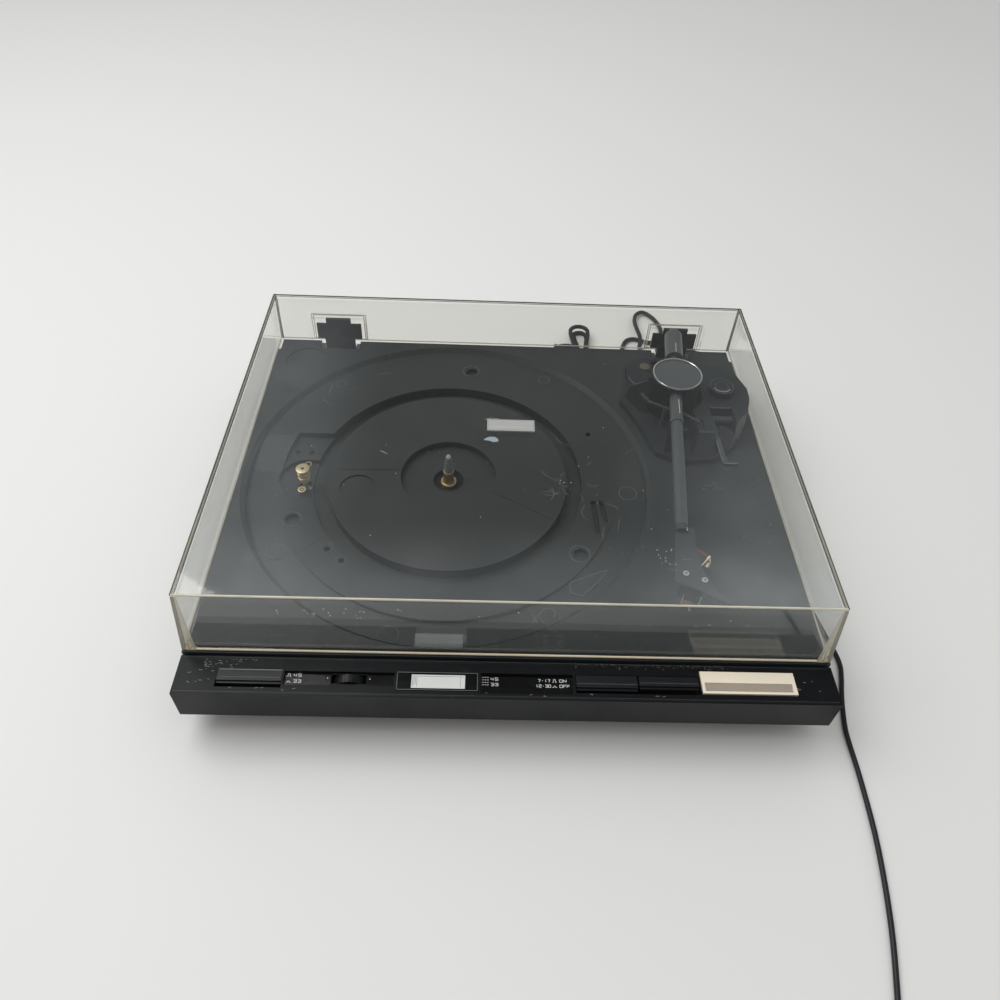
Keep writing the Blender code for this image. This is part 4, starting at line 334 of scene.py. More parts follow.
def clear_acrylic(name, tint, haze):
    """Clear sheet: what is behind shows through, with a mirror share that grows at a slant
    and a worn film that is thickest along the front and at the right."""
    material = bpy.data.materials.new(name)
    material.use_nodes = True
    tree = material.node_tree
    tree.nodes.remove(tree.nodes["Principled BSDF"])
    facing = tree.nodes.new("ShaderNodeLayerWeight")
    facing.inputs["Blend"].default_value = 0.5
    # A clear sheet mirrors 4 percent of what falls on it squarely, and all at a grazing slant
    mirror_share = plus(times(maths("POWER", (facing, "Facing"), 5.0), 0.96), 0.04)
    sheet = blend(mirror_share, lobe(tree, "ShaderNodeBsdfTransparent", tint),
                  lobe(tree, "ShaderNodeBsdfGlossy", (1, 1, 1, 1), Roughness=0.05))
    # Where the film lies: along the front, at the right, less so at its rear, and at the left
    split = split_place(tree, "Object")
    front = span((split, "Y"), DECK.y - 0.255, DECK.y - 0.325)
    near = span((split, "Y"), DECK.y - 0.11, DECK.y - 0.23)
    right = times(span((split, "X"), 0.05, 0.17), plus(times(near, 0.7), 0.3))
    left = span((split, "X"), -0.09, -0.17)
    veil = plus(times(front, 0.9), times(plus(right, left), 0.85))
    veil = plus(veil, times(times(front, right), 0.7))
    # It is patchy, thin everywhere else, and less on the walls than on the top
    patchy = span((noise(tree, 11.0, 6.0, rough=0.66), "Fac"), 0.34, 0.72)
    level = span((split, "Z"), LID_HIGH[2] - 0.012, LID_HIGH[2] - 0.003)
    veil = times(veil, plus(times(patchy, 0.45), 0.65))
    veil = times(plus(veil, 0.05), plus(times(level, 0.6), 0.4))
    film = lobe(tree, "ShaderNodeBsdfDiffuse", (0.72, 0.77, 0.80, 1))
    whole = blend(times(veil, haze), sheet, film)
    link(*whole, tree.nodes["Material Output"], "Surface")
    return material


ACRYLIC = clear_acrylic("acrylic", (0.986, 0.986, 0.974, 1), 0.045)
PRISM = clear_acrylic("prism", (0.85, 0.88, 0.86, 1), 0.3)

FINISHES = (
    (DECK_PLASTIC, ["plinth"]), (POD_PLASTIC, ["tonearm_base", "arm_rest", "antiskate_knob"]),
    # The arm's drum gets the pit's painted shade
    (PIT_SHADE, ["arm_drum"]), (CAP_PLASTIC, ["arm_cap"]),
    (RAIL_PLASTIC, ["arm_lifter", "cue_lever"]), (BAR_PLASTIC, ["control_fascia"]),
    (KEY_BLACK, ["speed_button", "disc_size_button", "repeat_button"]),
    (CREAM, ["start_stop_button"]), (WINDOW_BLACK, ["strobe_window"]), (PANE, ["strobe_lens"]),
    (PRISM, ["strobe_prism"]), (ACRYLIC, ["dust_cover"]), (SILVER, ["name_plate"]),
    (BLACK, ["speed_wheel", "hinge_leaf_left", "hinge_leaf_right", "bearing_housing", "cartridge"]),
    (ZINC, ["hinge_socket_left", "hinge_socket_right", "thrust_cup", "motor_can", "transformer",
            "arm_pivot_post", "phono_plug"]),
    (STEEL, ["spindle_shaft", "cam_axle", "cartridge_screw_left", "cartridge_screw_right"]),
    (BRASS, ["platter_seat", "motor_pulley"]), (NYLON, ["drive_pinion", "cam_gear"]),
    (BOARD, ["control_board"]), (LAMP, ["strobe_lamp"]), (HARDBOARD, ["bottom_cover"]),
    (ARM_GREY, ["arm_tube", "counterweight"]), (SHELL_GREY, ["headshell"]), (NEEDLE, ["stylus_unit"]),
    (LEAD_RED, ["head_lead_red"]), (LEAD_WHITE, ["head_lead_white"]), (CORD_BLACK, ["power_plug"]),
    (RUBBER, ["foot_front_left", "foot_front_right", "foot_rear_left", "foot_rear_right",
              "power_relief", "phono_relief"]))


def finish_nodes():
    for material, names in FINISHES:
        for name in names:
            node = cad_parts[name]
            if not node.material_slots:
                node.data.materials.append(material)
            for slot in node.material_slots:
                slot.material = material


finish_nodes()

# Cords, along part.py's routes: deck coordinates, the third value a height over a resting cord
POWER_DIAMETER = 0.0034
POWER_OUT = 0.1500
PHONO_DIAMETER = 0.0042
PHONO_OUT = 0.0500
RELIEF_END = 0.0240
RELIEF_DROP = 0.0250
CORD_GAP = 0.0003
TABLE_GAP = 0.0001
COIL_PITCH = 0.0011 + POWER_DIAMETER
COIL_X = 0.1840
COIL_Y = 0.0280
COIL_RADIUS = 0.0243
COIL_TURNS = 3
HANK_PITCH = 0.0016 + PHONO_DIAMETER
HANK_X = 0.0785
HANK_Y = 0.0455
HANK_RADIUS = 0.0107
HANK_STRAIGHT = 0.0315
HANK_WAIST = 0.0035
HANK_TURNS = 1
HANK_EXTRA_TURNS = 0.25
WOUND_STEPS = 24
RUN_SHARE = 0.2
FOLD_SHARE = 0.3
POWER_START_ROUTE = (
    (0.1516, 0.0365, 0.0165), (0.1555, 0.0450, 0.0065), (0.1630, 0.0510, 0.0008))
POWER_RUN_ROUTE = (
    (0.1990, 0.0517, 0.0028), (0.2110, 0.0480, 0.0006), (0.2215, 0.0400, 0.0),
    (0.2290, 0.0270, 0.0), (0.2325, 0.0080, 0.0), (0.2315, -0.0300, 0.0),
    (0.2280, -0.1000, 0.0), (0.2265, -0.1800, 0.0), (0.2290, -0.2400, 0.0),
    (0.2345, -0.2720, 0.0), (0.2392, -0.2950, 0.0), (0.2400, -0.3060, 0.0),
    (0.2380, -0.3160, 0.0), (0.2348, -0.3270, 0.0), (0.2320, -0.3384, 0.0),
    (0.2293, -0.3530, 0.0), (0.2286, -0.3640, 0.0), (0.2284, -0.3900, 0.0),
    (0.2260, -0.4300, 0.0), (0.2190, -0.4750, 0.0), (0.2090, -0.5150, 0.0))
POWER_PLUG_AT = (0.2030, -0.5370, 0.0)
PHONO_START_ROUTE = (
    (0.0505, 0.0380, 0.0165), (0.0530, 0.0500, 0.0060), (0.0595, 0.0590, 0.0008),
    (0.0680, 0.0600, 0.0))
PHONO_RUN_ROUTE = (
    (0.0930, 0.0040, 0.0024), (0.1060, 0.0110, 0.0), (0.1150, 0.0240, 0.0),
    (0.1190, 0.0430, 0.0), (0.1222, 0.0600, 0.0), (0.1270, 0.0715, 0.0),
    (0.1350, 0.0753, 0.0), (0.1440, 0.0720, 0.0), (0.1530, 0.0700, 0.0),
    (0.1618, 0.0765, 0.0), (0.1662, 0.0900, 0.0), (0.1645, 0.1040, 0.0),
    (0.1590, 0.1165, 0.0), (0.1505, 0.1225, 0.0010), (0.1425, 0.1160, 0.0020),
    (0.1390, 0.1020, 0.0035), (0.1395, 0.0870, 0.0047), (0.1408, 0.0745, 0.0053),
    (0.1402, 0.0630, 0.0052))
PHONO_PLUG_AT = (0.1385, 0.0520, 0.0049)


def on_table(route, diameter):
    rest = diameter / 2 + TABLE_GAP
    return [Vector((x, DECK.y + y, z + rest)) for x, y, z in route]


def wound(shape, turns, pitch, extra=0):
    """Points in two layers: in along the lower, a climb, and out along the upper."""
    inmost = turns - 0.25
    points = []
    count = round((2 * turns + extra) * WOUND_STEPS)
    for i in range(count + 1):
        t = i * (2 * turns + extra) / count
        if t <= inmost:
            inward, up = t, 0.0
        elif t < inmost + 0.5:
            inward, up = inmost, (t - inmost) / 0.5
        else:
            inward, up = 2 * turns - t, 1.0
        x, y = shape(t, pitch * inward)
        rise = up * up * (3 - 2 * up)
        points.append((x, y, pitch * rise))
    return points


def coil_shape(t, inward):
    turn = math.pi / 2 - 2 * math.pi * t
    radius = COIL_RADIUS - inward
    return COIL_X + radius * math.cos(turn), COIL_Y + radius * math.sin(turn)


def hank_shape(t, inward):
    """Down the left run, round the near fold, up the right run and round the far fold."""
    radius = HANK_RADIUS - inward
    lap = t % 1
    fold_end = RUN_SHARE / 2 + FOLD_SHARE
    if lap < RUN_SHARE / 2 or lap >= 1 - RUN_SHARE / 2:
        share = lap if lap < RUN_SHARE / 2 else lap - 1
        x, y = -radius, -share * 2 * HANK_STRAIGHT / RUN_SHARE
    elif lap < fold_end:
        turn = math.pi * (1 + (lap - RUN_SHARE / 2) / FOLD_SHARE)
        x, y = radius * math.cos(turn), -HANK_STRAIGHT + radius * math.sin(turn)
    elif lap < fold_end + RUN_SHARE:
        share = (lap - fold_end) / RUN_SHARE - 0.5
        x, y = radius, share * 2 * HANK_STRAIGHT
    else:
        turn = math.pi * (lap - fold_end - RUN_SHARE) / FOLD_SHARE
        x, y = radius * math.cos(turn), HANK_STRAIGHT + radius * math.sin(turn)
    drawn = max(1 - (y / HANK_STRAIGHT) ** 2, 0) ** 2 * HANK_WAIST
    x -= math.copysign(drawn, x)
    return HANK_X + x, HANK_Y + y


def rounded(points):
    """A smooth curve through the given points, its first and last stretches straight."""
    steps = 6
    dense = [points[0], points[1]]
    for p0, p1, p2, p3 in zip(points, points[1:], points[2:], points[3:]):
        for k in range(1, steps + 1):
            t = k / steps
            dense.append((2 * p1 + (p2 - p0) * t + (2 * p0 - 5 * p1 + 4 * p2 - p3) * t ** 2
                          + (3 * p1 - p0 - 3 * p2 + p3) * t ** 3) / 2)
    return [*dense, points[-1]]


def placed(name, data, material, body):
    piece = bpy.data.objects.new(name, data)
    bpy.context.collection.objects.link(piece)
    data.materials.append(material)
    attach(piece, body)
    return piece


def tube(name, points, diameter, material, body="case"):
    curve = bpy.data.curves.new(name, "CURVE")
    curve.dimensions = "3D"
    curve.bevel_depth = diameter / 2
    curve.bevel_resolution = 4
    curve.use_fill_caps = True
    spline = curve.splines.new("POLY")
    spline.points.add(len(points) - 1)
    for knot, point in zip(spline.points, points):
        knot.co = (*point, 1)
    return placed(name, curve, material, body)


def course(exit_point, diameter, start_route, lead_in, coil, run_route, plug_at, lead_out):
    """A cord's points from its relief, through its coil and on to the plug; leads in diameters."""
    start = rounded([
        exit_point, exit_point + Vector((0, diameter, 0)), *on_table(start_route, diameter),
        *(coil[0] + Vector(step) * diameter for step in lead_in)])
    onward = Vector((diameter, 0, 0))
    run = rounded([coil[-1] + onward, coil[-1] + 2 * onward, *on_table(run_route, diameter),
                   plug_at + Vector(lead_out) * diameter, plug_at])
    return start + coil + run


def add_power_cord():
    exit_point = DECK + Vector((POWER_OUT, RELIEF_END + CORD_GAP, -RELIEF_DROP))
    coil = on_table(wound(coil_shape, COIL_TURNS, COIL_PITCH), POWER_DIAMETER)
    last, plug_at = on_table([POWER_RUN_ROUTE[-1], POWER_PLUG_AT], POWER_DIAMETER)
    points = course(exit_point, POWER_DIAMETER, POWER_START_ROUTE, ((-3, 0, 0), (-1, 0, 0)), coil,
                    POWER_RUN_ROUTE, plug_at, (last - plug_at).normalized())
    cord = tube("power_cord", points, POWER_DIAMETER, CORD_BLACK)
    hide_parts("power_cord_start", "power_cord_coil", "power_cord_run")


def add_phono_cord():
    exit_point = DECK + Vector((PHONO_OUT, RELIEF_END + CORD_GAP, -RELIEF_DROP))
    hank = on_table(wound(hank_shape, HANK_TURNS, HANK_PITCH, HANK_EXTRA_TURNS), PHONO_DIAMETER)
    plug_at = on_table([PHONO_PLUG_AT], PHONO_DIAMETER)[0]
    points = course(exit_point, PHONO_DIAMETER, PHONO_START_ROUTE, ((0, 2, 0), (0, 1, 0)), hank,
                    PHONO_RUN_ROUTE, plug_at, (0, 1, 0))
    cord = tube("phono_cord", points, PHONO_DIAMETER, CORD_GREY)
    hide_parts("phono_cord_start", "phono_hank", "phono_cord_run")


add_power_cord()
add_phono_cord()


# Small trim, marks and wear: deck coordinates in millimetres
MM = 0.001
UP = Vector((0, 0, 1))
FRONT_OUT = Vector((0, -0.989, 0.148))  # square to the lid's front wall
FRONT_DOWN = Vector((0, -0.145, -0.989)) * MM
BACK_OUT = Vector((0, 0.997, 0.074))  # square to its back wall
PIVOT = (139.1, -88.6)  # the arm's, in plan
ARM_LEAN = math.atan2(0.1253, 0.9921)  # toward the well, as it rests
KNOB = (180.3, -84.5)  # the anti-skate knob's middle
WELL_RADIUS = 159.2


def above_deck(z):
    """Millimetres over the deck, from metres in the frame."""
    return (z - DECK.z) / MM


# Heights over the deck on which marks lie
LID_TOP = above_deck(LID_HIGH[2])
LID_FOOT = above_deck(LID_LOW[2])
BAR_TOP = above_deck(BAR_HIGH[2])
DISH_FLOOR = BAR_TOP - 2
KEY_TOP = -2.37
START_TOP = -1.29
WINDOW_TOP = -2.38
WELL_FLOOR = -3.69
WELL_STEP = -7.99
POD_LOW = 5.01
POD_HIGH = 20.01
KNOB_FACE = 25.52
SHELL_FACE = 31.21
CLEAR = 0.01  # how far marks lie over a face


def shift(x, y, z=0):
    """A step given in millimetres."""
    return Vector((x, y, z)) * MM


def spot(x, y, z=0):
    return DECK + shift(x, y, z)


def spots(z, *places):
    """Points at one height, from their places across and along."""
    return [spot(x, y, z) for x, y in places]


def closed(path):
    return [*path, path[0]]


def in_well(across, along, height):
    """A point from shares of the well's radius."""
    return WELL + shift(across * WELL_RADIUS, along * WELL_RADIUS, height)


def on_arm(z, *places):
    """Points at one height, from millimetres along the arm, and to its right, from the pivot."""
    lean, level = math.sin(ARM_LEAN), math.cos(ARM_LEAN)
    return [spot(PIVOT[0] - lean * forward + level * side,
                 PIVOT[1] - level * forward - lean * side, z) for forward, side in places]


def solid(name, points, faces, material, body="case", smooth=False):
    mesh = bpy.data.meshes.new(name)
    mesh.from_pydata(points, [], faces)
    shape = bmesh.new()
    shape.from_mesh(mesh)
    bmesh.ops.recalc_face_normals(shape, faces=shape.faces)
    shape.to_mesh(mesh)
    shape.free()
    if smooth:
        mesh.polygons.foreach_set("use_smooth", [True] * len(mesh.polygons))
        mesh.set_sharp_from_angle(angle=0.6)
    return placed(name, mesh, material, body)


def plates(name, outlines, thick, material, body="case", up=UP):
    """Thin flat plates, one for each outline of corner points."""
    points, faces = [], []
    lift = up.normalized() * thick * MM
    for outline in outlines:
        count, first = len(outline), len(points)
        points += [*outline, *(point + lift for point in outline)]
        faces += [tuple(range(first, first + count)), tuple(range(first + count, first + 2 * count))]
        faces += [(first + k, first + (k + 1) % count, first + count + (k + 1) % count,
                   first + count + k) for k in range(count)]
    return solid(name, points, faces, material, body)


def strip(start, end, width, up):
    """Corners of a flat strip between two points, its width square to `up`."""
    half = up.cross(end - start).normalized() * MM / 2 * width
    return [start - half, end - half, end + half, start + half]


def lines(name, paths, width, thick, material, body="case", up=UP):
    return plates(name, [strip(a, b, width, up) for path in paths for a, b in zip(path, path[1:])],
                  thick, material, body, up)


def arc(centre, radius, start, end, steps):
    """Points on a level arc: degrees from the right, turning left."""
    return [centre + Vector((math.cos(math.radians(a)), math.sin(math.radians(a)), 0)) * radius * MM
            for a in (start + (end - start) * k / steps for k in range(steps + 1))]


def rings(name, turned, material, body, steps=40):
    """Turned rings: for each centre, a closed profile of radius and height."""
    points, faces = [], []
    for centre, profile in turned:
        count, first = len(profile), len(points)
        for k in range(steps):
            turn = 2 * math.pi * k / steps
            points += [centre + shift(r * math.cos(turn), r * math.sin(turn), z)
                       for r, z in profile]
        for k in range(steps):
            here, there = first + k * count, first + (k + 1) % steps * count
            faces += [(here + i, there + i, there + (i + 1) % count, here + (i + 1) % count)
                      for i in range(count)]
    return solid(name, points, faces, material, body, smooth=True)


def hoop(radius, width, height, foot=0):
    """A low ring's profile, rounded over its top."""
    inner, outer = radius - width / 2, radius + width / 2
    return ((inner, foot), (inner, foot + height * 0.6), (inner + width * 0.25, foot + height),
            (outer - width * 0.25, foot + height), (outer, foot + height * 0.6), (outer, foot))


def button(radius, height, foot=0):
    """A low disc's profile with a softened rim and an all but closed middle."""
    return ((0.05, foot), (radius, foot), (radius, foot + height * 0.7),
            (radius * 0.86, foot + height), (0.05, foot + height))


# The lid's edges: the clear sheet looks solid where it is seen end on, so rods and bands there carry
# painted highlights, painted sheen and painted shade
LID_CORNERS = {"front_top": (207.85, -324.5, LID_TOP), "rear_top": (207.85, -3.8, LID_TOP),
               "front_foot": (209.9, -331.8, LID_FOOT), "rear_foot": (209.9, -0.1, LID_FOOT)}


def lid_corner(side, place, inset, sink):
    """A point near one of the lid's corners, moved inward and into the sheet's height."""
    x, y, z = LID_CORNERS[place]
    return spot(side * (x - inset), y + inset if place.startswith("front") else y - inset,
                z - sink if place.endswith("top") else z + sink)


def edge_rod(name, start, end, radius, material):
    steps = 6
    tube(name, [start.lerp(end, k / steps) for k in range(steps + 1)], 2 * radius * MM, material, "lid")


def corner_band(name, top, foot, inward, insets, thick, material, out):
    """A flat band down a corner, from its insets at the top and at the foot."""
    top_near, foot_near, foot_far, top_far = insets
    plates(name, [[top + inward * top_near, foot + inward * foot_near, foot + inward * foot_far,
                   top + inward * top_far]], thick, material, "lid", out)


def add_lid_side(side, label):
    for name, start, inset, sink, end, end_sink, share, radius, material in (
            ("outer", "front_top", 0.6, 0.55, "rear_top", 0.55, 1, 0.6, EDGE_SHADE_DARK),
            ("inner", "front_top", 2.7, 0.45, "rear_top", 0.45, 1, 0.42, EDGE_SHADE_DARK),
            ("front", "front_top", 1.5, 0.9, "rear_top", 0.9, 0.2, 0.95, EDGE_SHEEN_OLIVE),
            ("middle", "front_top", 1.6, 0.7, "rear_top", 0.7, 1, 0.45, EDGE_SHEEN_OLIVE),
            ("back", "rear_top", 1.5, 1.2, "rear_foot", 0.8, 1, 0.6, EDGE_SHEEN_OLIVE),
            ("back_inner", "rear_top", 3.4, 3.2, "rear_foot", 0.8, 1, 0.35, EDGE_SHADE_DARK)):
        first, last = lid_corner(side, start, inset, sink), lid_corner(side, end, inset, end_sink)
        edge_rod(f"lid_edge_{label}_{name}", first, first.lerp(last, share), radius, material)
    edge_rod(f"lid_foot_{label}", lid_corner(side, "front_foot", 1, 0.5),
             lid_corner(side, "rear_foot", 1, 0.5), 0.6, EDGE_HIGHLIGHT_IVORY)
    inward = shift(-side, 0)
    top, foot = lid_corner(side, "front_top", 0, 1.2), lid_corner(side, "front_foot", 0, 0.2)
    corner_band(f"lid_corner_{label}_outer", top, foot, inward, (0.5, 0.2, 3.6, 2.7), 0.12, EDGE_SHEEN_OLIVE,
                FRONT_OUT)
    corner_band(f"lid_corner_{label}_inner", top, foot, inward, (2.7, 3.6, 9.6, 3.9), 0.1, EDGE_HIGHLIGHT_IVORY,
                FRONT_OUT)
    rise = (top - foot).normalized() * MM
    # Painted glints in the lid's front corners
    painted_glints = [[foot + rise * low + inward * near, foot + rise * (low + 0.6) + inward * far,
               foot + rise * high + inward * (near + far) / 2] for low, high, near, far in (
        (0.8, 5.2, 2.2, 5), (2.6, 9.8, 5.6, 7), (0.6, 3.2, 5.8, 8.8), (7, 13.5, 3.4, 4.4))]
    plates(f"lid_glints_{label}", painted_glints, 0.16, CREAM_AND_HIGHLIGHT, "lid", FRONT_OUT)
    top, foot = lid_corner(side, "rear_top", 0, 1.2), lid_corner(side, "rear_foot", 0, 0.2)
    corner_band(f"lid_back_corner_{label}", top, foot, inward, (0.5, 0.2, 3.2, 2.4), 0.08, EDGE_SHEEN_OLIVE,
                BACK_OUT)


def add_lid_edges():
    add_lid_side(-1, "left")
    add_lid_side(1, "right")
    for name, place, inset, sink, radius, material in (
            ("lid_edge_front", "front_top", 0.9, 0.75, 0.75, EDGE_HIGHLIGHT_IVORY),
            ("lid_edge_front_inner", "front_top", 3, 3.1, 0.28, EDGE_SHEEN_OLIVE),
            ("lid_edge_back", "rear_top", 0.7, 0.6, 0.55, EDGE_SHADE_DARK),
            ("lid_edge_back_inner", "rear_top", 2.9, 0.6, 0.35, EDGE_SHEEN_OLIVE),
            ("lid_foot_front", "front_foot", 0.7, 0.75, 0.72, CREAM_AND_HIGHLIGHT),
            ("lid_foot_back", "rear_foot", 1.2, 0.6, 0.5, EDGE_HIGHLIGHT_IVORY)):
        edge_rod(name, lid_corner(-1, place, inset, sink), lid_corner(1, place, inset, sink), radius,
                 material)
    # Painted highlights round the hinge pockets' cut edges in the back wall
    pocket = []
    for leaf in ("hinge_leaf_left", "hinge_leaf_right"):
        low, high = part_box(leaf)
        wall = spot(0, -3.2, 2)  # in the back wall, where the lines start
        for grow in (2.6, 4.4):
            left, right, top = low[0] - grow * MM, high[0] + grow * MM, high[2] + grow / 2 * MM
            pocket.append(closed([Vector((x, wall.y, z)) for x, z in (
                (left, wall.z), (left, top), (right, top), (right, wall.z))]))
    lines("hinge_pocket_highlights", pocket, 0.7, 0.12, EDGE_HIGHLIGHT_IVORY, "lid", Vector((0, -1, 0)))


def add_lid_wear():
    """Chips, hair scratches and grit on the lid, where the photograph shows them, and some more."""
    top = LID_TOP + CLEAR
    plates("lid_chips", [spots(top, (-20.2, -182.6), (-18.2, -180.2), (-15.6, -178.9), (-12, -178.9),
                               (-9.6, -181), (-9.2, -183.6), (-12.6, -184.6), (-16.4, -183))],
           0.08, CHIP_GREY, "lid")
    lines("lid_nicks", [spots(top, (-94, -196.4), (-91.6, -197.6), (-88.6, -199.6)),
                        spots(top, (-19.4, -160.3), (-14.9, -158.5), (-8.9, -159.3)),
                        spots(top, (-16.3, -162.4), (-10.7, -161.9))], 0.45, 0.04, SCRATCH, "lid")
    draw = random.Random(7)
    hair = []
    for x, y, reach, count in ((36, -224, 11, 9), (96, -290, 10, 2), (62, -250, 14, 4),
                               (150, -215, 16, 4), (-120, -120, 30, 4), (60, -200, 30, 6)):
        for _ in range(count):
            cx, cy = x + draw.uniform(-reach, reach), y + draw.uniform(-reach, reach)
            turn, bend, step = draw.uniform(0, 6.28), draw.uniform(-0.5, 0.5), draw.uniform(1.2, 4.2)
            path = [spot(cx, cy, top)]
            for _ in range(4):
                cx, cy = cx + step * math.cos(turn), cy + step * math.sin(turn)
                turn += bend
                path.append(spot(cx, cy, top))
            hair.append(path)
    lines("lid_hairlines", hair, 0.1, 0.02, SCRATCH, "lid")
    corners = (0.3, 1.9, 3.4, 4.9)  # of a speck, as turns in radians
    front_limit = -323
    grit = []
    for x, y, reach, count in ((36, -224, 9, 6), (60, -220, 60, 10), (98, -288, 9, 12),
                               (-60, -230, 90, 10)):
        for _ in range(count):
            at = spot(x + draw.gauss(0, reach / 2), max(y + draw.gauss(0, reach / 2), front_limit), top)
            size = draw.uniform(0.12, 0.34)
            grit.append([at + Vector((math.cos(a), math.sin(a), 0)) * size * MM for a in corners])
    plates("lid_grit", grit, 0.05, CHIP_WHITE, "lid")
    crown = spot(0, -324.85, 48.4)  # the top of the front wall's outer face
    specks = []
    for x, reach, count in ((-122, 11, 9), (-99, 6, 6), (0, 150, 12)):
        for _ in range(count):
            at = crown + shift(x + draw.uniform(-reach, reach), 0)
            at += FRONT_DOWN * draw.uniform(7, 17)
            size = draw.uniform(0.3, 0.52)
            specks.append([at + shift(math.cos(a) * size, 0)
                           + FRONT_DOWN * math.sin(a) * size for a in corners])
    plates("front_specks", specks, 0.05, CHIP_WHITE, "lid", FRONT_OUT)
    curls = [[crown + shift(x + wide * math.sin(2.4 * k / 6), 0)
              + FRONT_DOWN * (fall + long * k / 6) for k in range(7)] for x, fall, wide, long in (
        (11, 6, 3, 11), (17, 7, -2.4, 9), (24, 4, 2.2, 7), (-60, 12, 3, 6))]
    lines("front_hairs", curls, 0.24, 0.03, SCRATCH, "lid", FRONT_OUT)


# Panel marks: plain numbers and signs only
GLYPHS = {
    "0": (((0, 0), (0, 1), (1, 1), (1, 0), (0, 0)),),
    "1": (((0.5, 1), (0.5, 0)),),
    "2": (((0, 1), (1, 1), (1, 0.5), (0, 0.5), (0, 0), (1, 0)),),
    "3": (((0, 1), (1, 1), (1, 0), (0, 0)), ((0.25, 0.5), (1, 0.5))),
    "4": (((0, 1), (0, 0.4), (1, 0.4)), ((0.75, 1), (0.75, 0))),
    "5": (((1, 1), (0, 1), (0, 0.5), (1, 0.5), (1, 0), (0, 0)),),
    "7": (((0, 1), (1, 1), (0.45, 0)),),
    "F": (((0, 0), (0, 1), (1, 1)), ((0, 0.5), (0.8, 0.5))),
    "N": (((0, 0), (0, 1), (1, 0), (1, 1)),),
    "-": (((0.35, 0.5), (0.65, 0.5)),),
    "u": (((0, 0), (0.28, 0), (0.28, 1), (0.72, 1), (0.72, 0), (1, 0)),),
    "d": (((0, 0), (0.25, 0), (0.35, 0.5), (0.65, 0.5), (0.75, 0), (1, 0)),)}
GLYPHS["O"] = GLYPHS["0"]


def written(text, left, foot, z, wide, high, gap):
    paths = []
    for mark in text:
        paths += [[spot(left + x * wide, foot + y * high, z) for x, y in stroke]
                  for stroke in GLYPHS[mark]]
        left += wide + gap
    return paths


def add_panel_marks():
    floor = DISH_FLOOR + 0.02
    marks = []
    for text, left, foot, wide, high, gap in (
            ("u", -141, -346.7, 2.8, 1.9, 0.8), ("45", -136.6, -346.7, 2, 1.9, 0.75),
            ("d", -140.8, -350.9, 2.8, 1.9, 0.8), ("33", -136.4, -350.9, 2, 1.9, 0.75),
            ("45", -11.9, -346.9, 1.9, 1.8, 0.7), ("33", -11.9, -350.7, 1.9, 1.8, 0.7),
            ("7-17", 18.2, -347.4, 1.5, 1.8, 0.55), ("u", 27.2, -347.4, 2.9, 1.8, 0.6),
            ("ON", 31.8, -347.4, 1.9, 1.8, 0.6), ("12-30", 16.6, -351.1, 1.5, 1.8, 0.5),
            ("d", 27.2, -351.1, 2.9, 1.8, 0.6), ("OFF", 31.8, -351.1, 1.8, 1.8, 0.5)):
        marks += written(text, left, foot, floor, wide, high, gap)
    for column in range(3):
        for row in range(4):
            x, y = -17.5 + 1.55 * column, -344.9 - 1.75 * row
            marks.append(spots(floor, (x, y), (x + 1, y)))
    lines("panel_marks", marks, 0.36, 0.03, WHITE_INK)
    plates("dish_faces", [spots(DISH_FLOOR + 0.005, (a, back), (b, back), (b, fore), (a, fore))
                          for a, b, back, fore in ((-141.8, -112.9, -344.4, -353.5),
                                                   (-90.3, -73.2, -344.4, -353.5),
                                                   (-17.9, 40.3, -343.4, -357))],
           0.012, WINDOW_BLACK)
    rings("panel_dots", [(spot(-115.3, -347.4, floor), button(0.42, 0.05)),
                         (spot(-88.6, -347.6, floor), button(0.42, 0.05))], WHITE_INK, "case", 12)


def add_key_marks():
    # Painted highlights: light lines across the black keys and along the speed key's rear edge
    for name, left, right, y, width, material, body in (
            ("speed_key_highlight", -183.2, -144.4, -348.9, 0.45, GREY_HIGHLIGHT, "speed_key"),
            ("speed_key_edge_highlight", -183.6, -144, -343.7, 0.3, INK_AND_HIGHLIGHT_GREY, "speed_key"),
            ("disc_key_highlight", 42.8, 80.9, -349.2, 0.45, GREY_HIGHLIGHT, "disc_size_key"),
            ("repeat_key_highlight", 83.1, 120.2, -348, 0.45, GREY_HIGHLIGHT, "repeat_key")):
        lines(name, [spots(KEY_TOP, (left, y), (right, y))], width, 0.03, material, body)
    lip_foot, lip_height, lip_depth = -15.8, 12.2, 1.5
    for label, body, left, right, fore in (("speed", "speed_key", -183.8, -143.7, -351.2),
                                           ("disc", "disc_size_key", 42.4, 81.3, -351.8),
                                           ("repeat", "repeat_key", 82.7, 120.6, -350.2)):
        plates(f"{label}_key_lip", [spots(lip_foot, (left, fore), (right, fore), (right, fore - lip_depth),
                                          (left, fore - lip_depth))], lip_height, KEY_BLACK, body)
    plates("start_key_strip", [spots(START_TOP, (124.6, -347.8), (180.2, -347.8), (179.8, -353),
                                     (124.4, -353))], 0.05, TAUPE, "start_stop_key")
    lines("start_key_lines", [closed(spots(START_TOP, (124.4, -347.6), (180.4, -347.6),
                                           (180.1, -353.2), (124.2, -353.2)))],
          0.22, 0.08, INK_AND_HIGHLIGHT_GREY, "start_stop_key")


